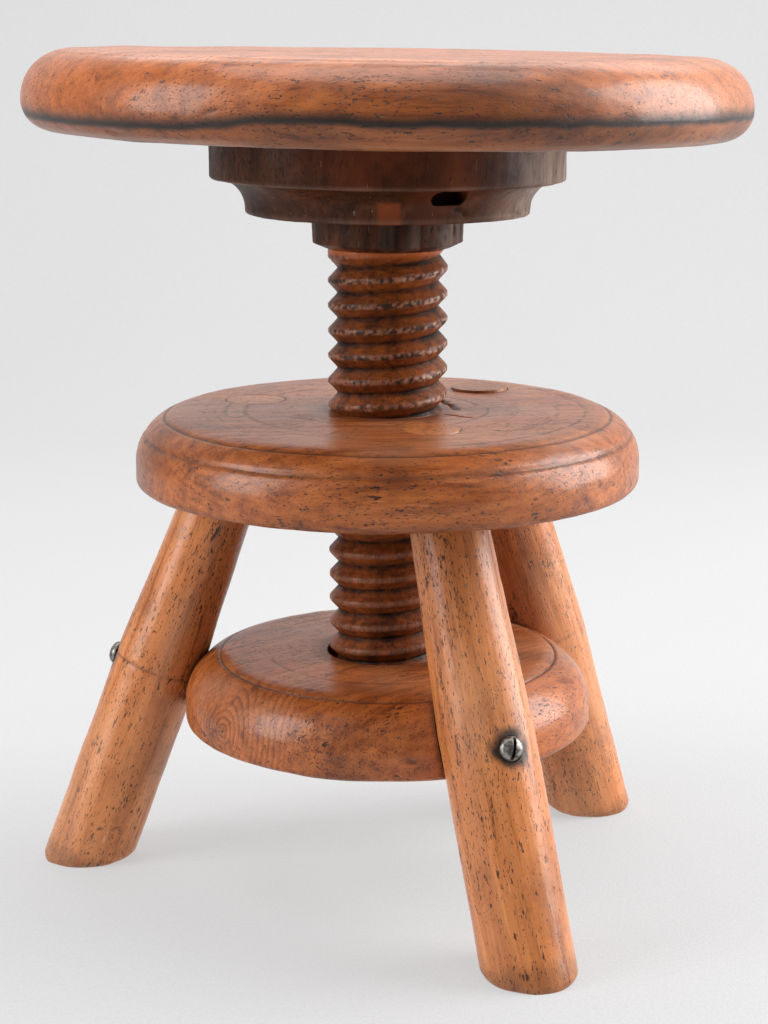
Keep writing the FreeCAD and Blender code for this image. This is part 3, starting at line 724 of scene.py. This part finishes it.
def makeCollar():
    s = collar
    r, bore, shoulder = s["radius"], s["bore"], collarLow + s["rise"]
    inner = r - s["chamfer"]
    outline = (straight((bore, collarHigh), (bore, collarLow), 3.0)
               + straight((bore, collarLow), (inner, collarLow), 1.5)
               + straight((inner, collarLow), (r, shoulder), 1.0)
               + straight((r, shoulder), (r + s["flare"], collarHigh - 0.6), 0.9) + [(r - 0.3, collarHigh)]
               + straight((r - s["edge"], collarHigh), (bore, collarHigh), 2.0) + [(bore, collarHigh)])
    body = Turned(outline, s["columns"])
    body.wear(81, 9, 0.22, 0.1)
    rng = np.random.default_rng(83)

    def downSide():
        angle = rng.uniform(0, 360)
        top = rng.uniform(320, 328)
        return onRim(r, angle, top), onRim(r, angle + rng.normal(0, 1), top - rng.uniform(2, 7))

    marks = [crack(onRim(r, -30.6, 326), onRim(r, -30.0, 319), 82, 0.6, 0.9, 1.0, 0.5)]
    marks += scatter(rng, 26, downSide, 400, 0.4, (0.25, 0.45), (0.1, 0.35), (0.4, 0.9))
    body.mark(marks)
    made = body.piece("neckCollar")
    spots = pointsOf(made)
    _, dark = markField(spots, marks)
    sootAndShade = 0.34 + noiseAt(spots * (1, 1, 0.25), 7, 84) * 0.34 + noiseAt(spots * (1, 1, 0.1), 1.6, 86) * 0.2
    around = aroundOf(spots)
    paint(made, "dirtAndShade", np.maximum(dark, sootAndShade))
    # Pale worn bands, strongest on the lit right side, where they are partly a painted sheen.
    bands = ramp(noiseAt(spots * (1, 1, 0.1), 3.4, 85), 0.05, 0.5) * ramp(around, -100, -50) * 0.6
    paint(made, "worn", bands + ramp(noiseAt(spots * (1, 1, 0.2), 9, 87), 0.3, 0.7) * 0.25)
    paint(made, "warm", ramp(around, -115, -135) * ramp(noiseAt(spots, 8, 88), -0.2, 0.5) * 0.7)
    made.data.materials.append(makeWood(
        "collarWood", pale=rgb(106, 60, 34), middle=rgb(72, 38, 20), deep=rgb(36, 19, 11), worn=rgb(150, 128, 114),
        warm=rgb(150, 84, 48), along=(0.05, 0.02, 1.0), pith=(8.0, 3.0, 0.0), ring=3.2, wobble=3.0, gloss=0.32,
        coat=0.06, shine=0.12, seed=4.0))
    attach(made, "lift")
    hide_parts("collar")


makeCollar()
print("collar made")


thread = {
    "crest": 28.6, "root": 23.8, "pitch": 12.0, "phase": 9.0, "flat": 1.6, "neck": 4.0, "tenon": 22.0,
    "endRound": 3.0, "columns": 220, "samples": 20}


def threadDepth(across):
    # How deep the groove is, 0 to 1, at a place across one pitch counted from the groove's middle.
    s = thread
    half = (s["pitch"] - s["flat"]) / 2
    away = np.abs(((across + s["pitch"] / 2) % s["pitch"]) - s["pitch"] / 2)
    return np.clip(1 - away / half, 0, 1)


def threadFaces(columns, count):
    # Row `samples` of one turn is row 0 of the next.
    samples = thread["samples"]
    index = np.arange(samples * (count + 1)).reshape(samples, count + 1)
    last = np.full((1, count + 1), -1)
    last[0, :count + 1 - columns] = index[0, columns:]
    index = np.concatenate([index, last], 0)
    a, b, c, d = index[:-1, :-1], index[:-1, 1:], index[1:, 1:], index[1:, :-1]
    return np.stack([a, b, c, d], -1)[(c >= 0) & (d >= 0)]


def lathe(levels, columns, start):  # plain rings of (radius, height), counted on from start
    around = np.arange(columns) * 2 * math.pi / columns
    rings = [np.stack([r * np.cos(around), r * np.sin(around), np.full(columns, z)], -1) for r, z in levels]
    return np.concatenate(rings), gridFaces(len(levels), columns) + start


def makeSpindle():
    s = thread
    shoulder = collarLow
    top = shoulder - 0.4
    low = spindleLow + s["endRound"]
    columns, samples = s["columns"], s["samples"]
    count = (int((top - low) / s["pitch"]) + 3) * columns
    first = s["phase"] + s["pitch"] * math.floor((low - s["phase"]) / s["pitch"] - 1)
    j = np.arange(count + 1)
    theta = 2 * math.pi * (j % columns) / columns
    # Rows lie on the thread: denser at the crest and the root, where the shape turns.
    share = np.linspace(0, 1, samples + 1)
    share = share + 0.35 * np.sin(4 * math.pi * share) / (4 * math.pi)
    height = first + s["pitch"] * (j[None, :] / columns + share[:, None])
    across = np.repeat(share[:, None] * s["pitch"], count + 1, 1)
    cosine, sine = np.cos(theta)[None, :], np.sin(theta)[None, :]
    flat = 0 * height
    onCrest = np.stack([cosine * s["crest"] + flat, sine * s["crest"] + flat, height], -1)
    slope = threadDepth(across)
    rounded = np.where(slope > 0.92, 0.92 + (slope - 0.92) * 0.5, slope)
    rounded = np.maximum(rounded - 0.02, 0)
    # Each half of a row belongs to the groove beside it, and the last groove runs out at the neck.
    groove = first + s["pitch"] * (j[None, :] / columns + (share[:, None] > 0.5))
    fade = ramp(shoulder - s["neck"] + 1.5 - groove, -1.5, 2.5)
    depth = (s["crest"] - s["root"]) * rounded * fade
    chips = ramp(noiseAt(onCrest * (1, 1, 0.9), 5.2, 91), 0.35, 0.8) * 0.8
    chips = chips + ramp(noiseAt(onCrest, 1.5, 92), 0.25, 0.7) * 0.3
    nearCrest = ramp(slope, 0.32, 0.02) * fade
    wobble = noiseAt(onCrest, 16, 93) * 0.2
    radius = s["crest"] - depth - chips * nearCrest + wobble * 0.6 + noiseAt(onCrest, 1.6, 94) * 0.08
    height = height + noiseAt(onCrest, 7, 95) * 0.16 * fade + noiseAt(onCrest, 2.4, 96) * 0.1 * nearCrest
    radius = np.where(height > top, s["crest"], radius)
    radius = np.where(height < low, s["crest"] - 0.6, radius)
    height = np.clip(height, low, top)
    spots = np.stack([radius * cosine, radius * sine, height], -1)[:samples].reshape(-1, 3)
    neckLevels = [(s["crest"], top), (s["crest"] - 0.4, shoulder), (s["tenon"], shoulder)]
    neckLevels += [(s["tenon"], z) for z in np.linspace(shoulder, spindleHigh, 14)[1:]] + [(0.0, spindleHigh)]
    endLevels = [(0.0, spindleLow), (12.0, spindleLow), (s["crest"] - 3.4, spindleLow),
                 (s["crest"] - 1.6, low - 1.4), (s["crest"] - 0.6, low)]
    neck, neckFaces = lathe(neckLevels, columns, len(spots))
    end, endFaces = lathe(endLevels, columns, len(spots) + len(neck))
    spots = np.concatenate([spots, neck, end])
    faces = np.concatenate([threadFaces(columns, count), neckFaces, endFaces])
    made = makeMesh("screwSpindle", spots, faces.tolist(), sharp=50, merge=0.02)
    final = pointsOf(made)
    level, radiusNow, around = final[:, 2], reachOf(final), aroundOf(final)
    turning = np.arctan2(final[:, 1], final[:, 0]) / (2 * math.pi) * s["pitch"]
    slopeNow = threadDepth(level - turning - s["phase"])
    inThread = ramp(shoulder - level, 1, 5) * ramp(radiusNow, 22.6, 23.4)
    lines = ramp(noiseAt(final * (1, 1, 3.0), 2.6, 90), 0.0, 0.6) * 0.3
    # Darker in the thread's grooves, with blotches and fine lines.
    darkInGrooves = ramp(slopeNow, 0.55, 1.0) * 0.72 + ramp(noiseAt(final, 9, 97), 0.0, 0.7) * 0.35 + lines
    tick = noiseAt(final, 1.3, 98)
    crestNow = ramp(slopeNow, 0.2, 0.02)
    upper = ramp(level, 226, 250)
    rubbed = (0.08 + 0.42 * ramp(around, -95, -55) * ramp(around, 60, 10)) * upper
    ticks = crestNow * ramp(tick, 0.05, -0.25) * (0.25 + 0.6 * upper)
    paint(made, "dirtAndShade", np.maximum(darkInGrooves * (1 - crestNow), ticks) * inThread)
    paint(made, "worn", crestNow * (ramp(tick, 0.0, 0.3) * rubbed + 0.14) * inThread)
    paint(made, "warm", (1 - inThread) * 0.8 * ramp(radiusNow, 22.6, 23.4))
    made.data.materials.append(makeWood(
        "spindleWood", pale=rgb(158, 84, 36), middle=rgb(118, 58, 22), deep=rgb(60, 27, 10),
        worn=rgb(196, 164, 146), along=(0.02, 0.03, 1.0), pith=(4.0, 9.0, 0.0), ring=3.4, wobble=4.0,
        speckShow=0.3, gloss=0.3, coat=0.12, shine=0.2, seed=5.0))
    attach(made, "seat_assembly")
    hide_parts("spindle")


makeSpindle()
print("spindle made")


# A leg's axis, from the floor to the hub's top, and the frame that its mesh is made in.
class Leg:
    def __init__(self, number, foot, top, proud, seed):
        self.number, self.proud, self.seed = number, proud, seed
        self.foot = Vector((foot[0], foot[1], 0.0))
        self.top = Vector((top[0], top[1], hubHigh))
        run = self.top - self.foot
        self.length = run.length
        heading = math.atan2(run.y, run.x)
        self.lean = math.atan2(math.hypot(run.x, run.y), run.z)
        turn = Matrix.Rotation(heading, 4, "Z") @ Matrix.Rotation(self.lean, 4, "Y")
        self.place = Matrix.Translation(self.foot * mm) @ turn


legs = [
    Leg(1, (-153.8, 15.4), (-65.4, 28.0), 0.0, 101),
    Leg(2, (64.0, -129.7), (20.0, -51.3), 0.0, 102),
    Leg(3, (109.9, 87.7), (47.1, 60.8), 1.2, 103)]
legShape = {
    "foot": 21.7, "middle": 21.9, "middleAt": 112.0, "neck": 18.2, "neckSwell": 0.8, "swellReach": 30.0,
    "shoulderRound": 4.4, "tenon": 13.5, "columns": 150, "footRound": 2.2, "screwHeights": (98.4, 95.4, 97.0),
    "screwTilt": 17.0, "screwSink": 0.6, "gap": 0.3, "discGap": 0.5, "ringAt": 107.0, "ringShow": (1.0, 0.0, 0.5),
    "endGrain": (0.12, 0.05, 0.5)}


def diskOutline(bore, radius, low, high, topRound, lowRound, step, flatStep, boreStep):
    flat = radius - topRound
    return (straight((bore, high), (bore, low), boreStep)
            + straight((bore, low), (radius - lowRound, low), 3.0)
            + arcLine((radius - lowRound, low + lowRound), lowRound, -90, 0, step * 0.7)
            + straight((radius, low + lowRound), (radius, high - topRound), step)
            + arcLine((flat, high - topRound), topRound, 0, 90, step)
            + straight((flat, high), (bore, high), flatStep) + [(bore, high)])


def ringGroove(body, radius, low, depth, width=0.7):  # only above low
    body.push(-hump(body.radius - radius, width) * depth * (body.height > low))


def arcsAround(rng, count, low, high, z):  # shallow turning lines on a top
    marks = []
    for _ in range(count):
        r = rng.uniform(low, high)
        start = rng.uniform(0, 360)
        span = rng.uniform(20, 120)
        line = [np.array(onRim(r, start + span * t / 8, z)) for t in range(9)]
        marks.append({"line": line, "width": rng.uniform(0.25, 0.5), "depth": rng.uniform(0.06, 0.2),
                      "dark": rng.uniform(0.25, 0.7)})
    return marks


def tenonCutters(radius, low, high):
    return [rod(f"legCut{leg.number}", radius, low, leg.length + high, leg.place) for leg in legs]


def tenonGap(spots, radius, soft=0.8):
    # Grime beside the joint between a leg and a disc.
    nearest = np.full(len(spots), 99.0)
    for leg in legs:
        away = awayFrom(spots, tuple(leg.foot), tuple(leg.foot + (leg.top - leg.foot) * 1.1))
        nearest = np.minimum(nearest, np.abs(away - radius))
    return hump(nearest, soft)


hub = {
    "radius": 121.6, "bore": 25.2, "nutDepth": 3.8, "nutFill": 1.14, "topRound": 22.5, "lowRound": 3.5,
    "rings": ((107.5, 0.75), (117.4, 0.7)), "ringWidth": 0.7, "columns": 460}


def makeHub():
    s = hub
    outline = diskOutline(s["bore"], s["radius"], hubLow, hubHigh, s["topRound"], s["lowRound"], 0.9, 1.3, 0.8)
    body = Turned(outline, s["columns"])
    # The nut's thread, half a pitch out of step with the spindle's.
    inBore = np.abs(body.radius - s["bore"]) < 0.01
    across = body.height - body.angle / (2 * math.pi) * thread["pitch"] - thread["phase"] - thread["pitch"] / 2
    slope = np.clip(threadDepth(across) * s["nutFill"], 0, 1)
    body.radius = np.where(inBore, s["bore"] + s["nutDepth"] * slope, body.radius)
    body.wear(111, 30, 0.3, 0.05)
    for radius, depth in s["rings"]:
        ringGroove(body, radius, hubHigh - 12, depth, s["ringWidth"])
    rng = np.random.default_rng(112)
    marks = arcsAround(rng, 26, 34, 98, hubHigh)
    marks.append(crack((26.4, 24.9, hubHigh), (33.5, -0.3, hubHigh), 113, 1.3, 2.4, 1.0, 1.5))
    marks.append(crack((28.0, -14.0, hubHigh), (40.0, -22.0, hubHigh), 114, 0.6, 0.8, 0.9, 1.0))
    marks += scatterRound(rng, 46, s["radius"], (hubLow + 3, hubHigh - 16), 1.6, 1.2, 500, 0.4,
                          (0.3, 0.7), (0.1, 0.35), (0.3, 0.9))

    def onTop():
        x, y = onRim(rng.uniform(32, 112), rng.uniform(0, 360), 0)[:2]
        run = rng.normal(0, 5, 2)
        return (x, y, hubHigh), (x + run[0], y + run[1], hubHigh)

    marks += scatter(rng, 60, onTop, 600, 0.6, (0.3, 0.7), (0.08, 0.3), (0.3, 0.8))
    body.mark(marks)
    made = body.piece("threadedHub")
    cutAway(made, tenonCutters(legShape["tenon"] + legShape["gap"], 150, 30))
    spots = pointsOf(made)
    _, dark = markField(spots, marks)
    height, radius = spots[:, 2], reachOf(spots)
    top = ramp(height, hubHigh - 12, hubHigh - 9)
    rings = sum(hump(radius - ring, s["ringWidth"]) for ring, _ in s["rings"]) * top * 0.8
    joint = tenonGap(spots, legShape["tenon"] + legShape["gap"]) * np.where(spots[:, 1] < 0, 0.15, 0.6)
    nearScrew = ramp(radius, 37, 28) * 0.45
    # Painted shade on the underside; the lowest few millimetres of the side are darker too.
    under = ramp(height, hubLow + 0.8, hubLow - 0.3) * 0.35
    low = ramp(height, hubLow + 6, hubLow + 1) * 0.25
    paint(made, "dirtAndShade", np.maximum.reduce([dark, rings, joint, nearScrew, under, low]))
    paint(made, "worn", ramp(height, hubHigh - 7, hubHigh - 1) * ramp(noiseAt(spots, 35, 115), -0.6, 0.8) * 0.3)
    made.data.materials.append(makeWood(
        "hubWood", pith=(10.0, 120.0, -260.0), along=(1.0, 0.08, 0.012), ring=3.6, wobble=7.0, ringShow=0.3,
        seed=6.0))
    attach(made, "base")
    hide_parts("hub")


makeHub()
print("hub made")

disc = {
    "radius": 100.0, "bore": 29.8, "topRound": 25.0, "lowRound": 4.0, "ring": 83.0, "ringDepth": 0.75,
    "ringWidth": 0.7, "columns": 400}


def makeDisc():
    s = disc
    outline = diskOutline(s["bore"], s["radius"], discLow, discHigh, s["topRound"], s["lowRound"], 0.9, 1.4, 2.0)
    body = Turned(outline, s["columns"])
    body.wear(121, 26, 0.35, 0.05)
    ringGroove(body, s["ring"], discHigh - 12, s["ringDepth"], s["ringWidth"])
    rng = np.random.default_rng(122)
    marks = arcsAround(rng, 14, 36, 74, discHigh)
    marks.append(crack(onRim(98, -85.1, 106.5), onRim(98, -83.6, 105.0), 123, 1.0, 0.5, 0.9, 0.4))
    marks.append(crack(onRim(100, -84.5, 89.8), onRim(100, -82.5, 89.0), 124, 0.8, 0.4, 0.9, 0.4))
    marks += scatterRound(rng, 50, s["radius"], (discLow + 4, discHigh - 14), 2.2, 1.0, 700, 0.4,
                          (0.3, 0.6), (0.1, 0.3), (0.3, 0.8))
    body.mark(marks)
    made = body.piece("lowerDisc")
    cut = legShape["middle"] + legShape["discGap"]
    cutAway(made, tenonCutters(cut, -20, -100))
    spots = pointsOf(made)
    _, dark = markField(spots, marks)
    height, radius = spots[:, 2], reachOf(spots)
    ring = hump(radius - s["ring"], s["ringWidth"]) * ramp(height, discHigh - 12, discHigh - 9) * 0.8
    joint = tenonGap(spots, cut, 1.6) * 0.7
    nearScrew = ramp(radius, 40, 30) * 0.5
    # Painted shade on the underside.
    under = ramp(height, discLow + 0.8, discLow - 0.3) * 0.35
    paint(made, "dirtAndShade", np.maximum.reduce([dark, ring, joint, nearScrew, under]))
    paint(made, "worn", ramp(height, discHigh - 22, discHigh - 6) * ramp(noiseAt(spots, 30, 125), -0.4, 0.8) * 0.25)
    made.data.materials.append(makeWood(
        "discWood", pith=(0.0, 0.0, 92.0), along=(-0.777, -0.629, 0.0), ring=3.0, wobble=3.5, ringShow=0.6,
        ringReach=52.0, seed=7.0))
    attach(made, "base")
    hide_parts("lower_disc")


makeDisc()
print("lower disc made")


def legMarks(leg, rng):
    def pick(radius, highest, turn, rise):
        angle = rng.uniform(0, 360)
        low = rng.uniform(6, highest)
        return onRim(radius, angle, low), onRim(radius, angle + turn(), low + rise())

    def along():
        return pick(20.6, 205, lambda: rng.normal(0, 1.5), lambda: rng.uniform(1, 7))

    def across():
        return pick(21.4, 190, lambda: rng.uniform(5, 14), lambda: rng.normal(0, 2))

    marks = scatter(rng, 70, along, leg.seed * 9, 0.3, (0.25, 0.55), (0.08, 0.3), (0.3, 0.9))
    marks += scatter(rng, 10, across, leg.seed * 11, 0.4, (0.3, 0.6), 0.2, (0.3, 0.8))
    if leg.number == 1:
        marks.append(crack(onRim(21.5, -96, 21.6), onRim(21.5, -69, 24.3), 131, 0.6, 0.6, 0.9, 0.5))
    return marks


def makeLeg(leg):
    s = legShape
    foot, middle, neck, tenon, rounding = s["foot"], s["middle"], s["neck"], s["tenon"], s["shoulderRound"]
    cosine, tangent = math.cos(leg.lean), math.tan(leg.lean)
    centre = neck - rounding
    shoulder = ((hubLow - 0.6 - rounding - centre * math.sin(leg.lean)) / cosine + rounding)
    swell = (neck + s["neckSwell"], shoulder - s["swellReach"])
    outline = (straight((foot, 0), (middle, s["middleAt"]), 1.3)
               + straight((middle, s["middleAt"]), swell, 1.3)
               + straight(swell, (neck, shoulder - rounding), 1.3)
               + arcLine((centre, shoulder - rounding), rounding, 0, 86, 0.8)
               + straight((tenon, shoulder), (tenon, leg.length), 1.6) + [(tenon, leg.length)])
    body = Turned(outline, s["columns"])
    # The foot is cut level with the floor and the tenon level with the hub: the rows are
    # moved along the axis, most at the ends, until the first and the last lie in those planes.
    x = np.cos(body.angle)
    footShift = x * foot * tangent
    topShift = x * tenon * tangent + leg.proud / cosine
    nearTop = ramp(body.height, leg.length - 16, leg.length)
    body.height = body.height + footShift * ramp(body.height, 48, 0) + topShift * nearTop
    body.wear(leg.seed, 24, 0.3, 0.06)
    edge = ramp(body.height - footShift, s["footRound"] * 1.6, 0)
    worn = 0.7 + 0.3 * noiseAt(body.points(), 9, leg.seed + 5)
    body.radius = body.radius - edge ** 2 * s["footRound"] * worn
    marks = legMarks(leg, np.random.default_rng(leg.seed))
    body.mark(marks)
    # The turner's ring at the height of the screw.
    ringShow = s["ringShow"][leg.number - 1]
    body.push(-hump(body.height - s["ringAt"], 0.5) * 0.3 * ringShow * (body.radius > 15))
    # Close the foot and the tenon's end.
    spots = body.points()
    topCentre = np.array([0.0, 0.0, leg.length + leg.proud / cosine])
    shares = np.linspace(1, 0, 9)[1:]
    footRings = [spots[0] * share for share in shares][::-1]
    topRings = [topCentre + (spots[-1] - topCentre) * share for share in shares]
    grid = np.concatenate([np.stack(footRings), spots, np.stack(topRings)])
    faces = gridFaces(len(grid), s["columns"]).tolist()
    made = makeMesh(f"leg{leg.number}", grid.reshape(-1, 3), faces, leg.place, merge=weld)
    flattenFoot(made, leg)
    # The seat of the screw's head.
    head = screwPlace(leg)
    cutAway(made, [rod("seatCut", 6.2, 0.0, 20.0, head, 64)])
    spots = pointsOf(made)
    _, dark = markField(spots, marks)
    height = spots[:, 2]
    headAt = (leg.place.inverted() @ head).translation / mm
    away = np.linalg.norm(spots - np.array(headAt), axis=1)
    stain = ramp(away + noiseAt(spots, 4, leg.seed + 6) * 2.5, 12.0, 7.0) * 0.95
    # Darker just below the hub.
    darkBelowHub = ramp(height, shoulder - 6, shoulder + 1) * 0.5 * ramp(height, shoulder + 20, shoulder + 4)
    footGrime = ramp(height, 9, 0) * 0.35
    patchy = ramp(noiseAt(spots, 14, leg.seed + 9), -0.6, 0.2)
    ringDark = hump(height - s["ringAt"], 0.5) * 0.6 * ringShow * patchy
    endGrain = ramp(height, leg.length - 10, leg.length - 6) * s["endGrain"][leg.number - 1]
    paint(made, "dirtAndShade", np.maximum.reduce([dark, stain, darkBelowHub, footGrime, ringDark, endGrain]))
    paint(made, "worn", ramp(noiseAt(spots * (1, 1, 0.25), 16, leg.seed + 8), 0.0, 0.8) * 0.22)
    made.data.materials.append(makeWood(
        f"legWood{leg.number}", pale=rgb(222, 142, 84), middle=rgb(194, 114, 58), deep=rgb(116, 58, 26),
        worn=rgb(232, 184, 148), along=(0.01 * leg.number, 0.02, 1.0), ring=4.2, ringShow=0.25, fibre=0.4,
        pith=(6.0 - 5 * leg.number, 4.0 * leg.number, 0.0), wobble=5.0, blotch=0.42, poreShow=0.9,
        seed=8.0 + leg.number))
    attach(made, "base")
    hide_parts(f"leg_{leg.number}")


def flattenFoot(made, leg):
    # Nothing of the foot lies under the floor.
    turn = np.array(leg.place.to_3x3())
    move = np.array(leg.place.translation) / mm
    spots = pointsOf(made)
    world = spots @ turn.T + move
    world[:, 2] = np.maximum(world[:, 2], 0.0)
    spots = (world - move) @ turn
    made.data.vertices.foreach_set("co", (spots * mm).astype(np.float32).reshape(-1))


def screwPlace(leg):  # on the head's seat, its Z outwards along the screw
    s = legShape
    tilt = math.radians(s["screwTilt"])
    spot = leg.foot + (leg.top - leg.foot) * s["screwHeights"][leg.number - 1] / hubHigh
    heading = math.atan2(spot.y, spot.x)
    reach = s["middle"] / math.cos(leg.lean - tilt) - s["screwSink"]
    turn = Matrix.Rotation(heading, 4, "Z") @ Matrix.Rotation(math.pi / 2 - tilt, 4, "Y")
    return Matrix.Translation((spot + (turn @ Vector((0, 0, 1))) * reach) * mm) @ turn


legScrew = {
    "head": 5.7, "rise": 4.2, "rim": 0.3, "edge": 0.5, "under": 0.05, "shank": 2.4, "length": 62.0, "point": 6.0,
    "slotWide": 1.3, "slotDeep": 1.7, "twists": (40, -15, 35), "columns": 64}


def makeLegScrew(leg):
    s = legScrew
    head, rise, shank, edge, under = s["head"], s["rise"], s["shank"], s["edge"], s["under"]
    tip, pointAt = -s["length"], -s["length"] + s["point"]
    outline = (straight((0, tip), (shank, pointAt), 1.5)
               + straight((shank, pointAt), (shank, under), 3.0)
               + straight((shank, under), (head - 0.25, under), 0.6) + [(head, s["rim"])]
               + arcLine((0, edge), head, 0, 88, 0.5, (rise - edge) / head) + [(0, rise)])
    place = screwPlace(leg) @ Matrix.Rotation(math.radians(s["twists"][leg.number - 1]), 4, "Z")
    made = Turned(outline, s["columns"]).piece(f"legScrew{leg.number}", place)
    cutAway(made, [slotCut("slotCut", s["slotWide"], s["slotDeep"], rise, 9.0, place)])
    finishScrew(made, f"leg_screw_{leg.number}", "base", rise - 1.0)


for leg in legs:
    makeLeg(leg)
    makeLegScrew(leg)
print("legs and leg screws made")


def makeFloor():
    s = {"half": 2.4, "front": -1.6, "bendAt": 1.15, "bend": 0.5, "wall": 2.6}
    line = [(s["front"], 0.0), (s["bendAt"], 0.0)]
    line += [(s["bendAt"] + s["bend"] * math.sin(a), s["bend"] * (1 - math.cos(a)))
             for a in np.linspace(0.1, math.pi / 2, 14)]
    line.append((s["bendAt"] + s["bend"], s["wall"]))
    spots = [(x / mm, y / mm, z / mm) for y, z in line for x in (-s["half"], s["half"])]
    faces = [[2 * k, 2 * k + 1, 2 * k + 3, 2 * k + 2] for k in range(len(line) - 1)]
    floor = makeMesh("floor", spots, faces, sharp=80)
    f = Finish("paper")
    at = f.add("ShaderNodeTexCoord", {}, {}, "Object")
    weave = f.noise(f.vector("MULTIPLY", at, (700.0, 420.0, 700.0)), 1.0, 2.0, 0.6)
    cloud = f.noise(at, 3.0, 2.0, 0.5)
    colour = f.blend(weave.between(0.3, 0.7) * 0.6 + cloud * 0.3, rgb(112, 112, 113), rgb(126, 126, 127))
    f.shader.inputs["Emission Color"].default_value = (1, 1, 1, 1)
    f.shader.inputs["Emission Strength"].default_value = 0.49
    floor.data.materials.append(f.finish(colour, 0.9, weave, 0.3, 0.0006))


def softbox(name, at, towards, size, power, colour=(1, 1, 1)):
    light = bpy.data.lights.new(name, "AREA")
    light.shape = "RECTANGLE"
    light.size, light.size_y = size
    light.energy = power
    light.color = colour
    lamp = bpy.data.objects.new(name, light)
    bpy.context.scene.collection.objects.link(lamp)
    lamp.location = at
    lamp.rotation_euler = (Vector(towards) - Vector(at)).to_track_quat("-Z", "Y").to_euler()


def makeLight():
    middle, warmWhite = (0, 0, 0.2), (1.0, 0.99, 0.98)
    softbox("leftBox", (-1.5, -0.6, 0.9), middle, (0.8, 1.4), 24.0, warmWhite)
    softbox("rightBox", (1.5, 0.15, 0.85), middle, (1.15, 1.5), 46.0, warmWhite)
    softbox("topBox", (0.0, 0.0, 2.0), middle, (1.6, 1.2), 26.0)
    softbox("backBox", (0.15, 0.95, 1.25), (0, 0.0, 0.0), (1.4, 0.6), 6.0)
    world = bpy.data.worlds.new("room")
    bpy.context.scene.world = world
    world.use_nodes = True
    sky = world.node_tree.nodes["Background"].inputs
    sky["Color"].default_value = (0.9, 0.92, 0.95, 1)
    sky["Strength"].default_value = 0.2


def makeCamera():
    view = {"at": (0.0, -1.0392, 0.4184), "down": 0.2224, "turn": 0.0017, "lens": 76.6}
    camera = bpy.data.cameras.new("camera")
    camera.lens = view["lens"]
    camera.sensor_width = 36.0
    camera.clip_start = 0.05
    holder = bpy.data.objects.new("camera", camera)
    bpy.context.scene.collection.objects.link(holder)
    holder.location = view["at"]
    holder.rotation_euler = (math.pi / 2 - view["down"], 0.0, view["turn"])
    bpy.context.scene.camera = holder


makeFloor()
makeLight()
makeCamera()
bpy.context.scene.view_settings.view_transform = "Standard"
print("floor, light and camera made")
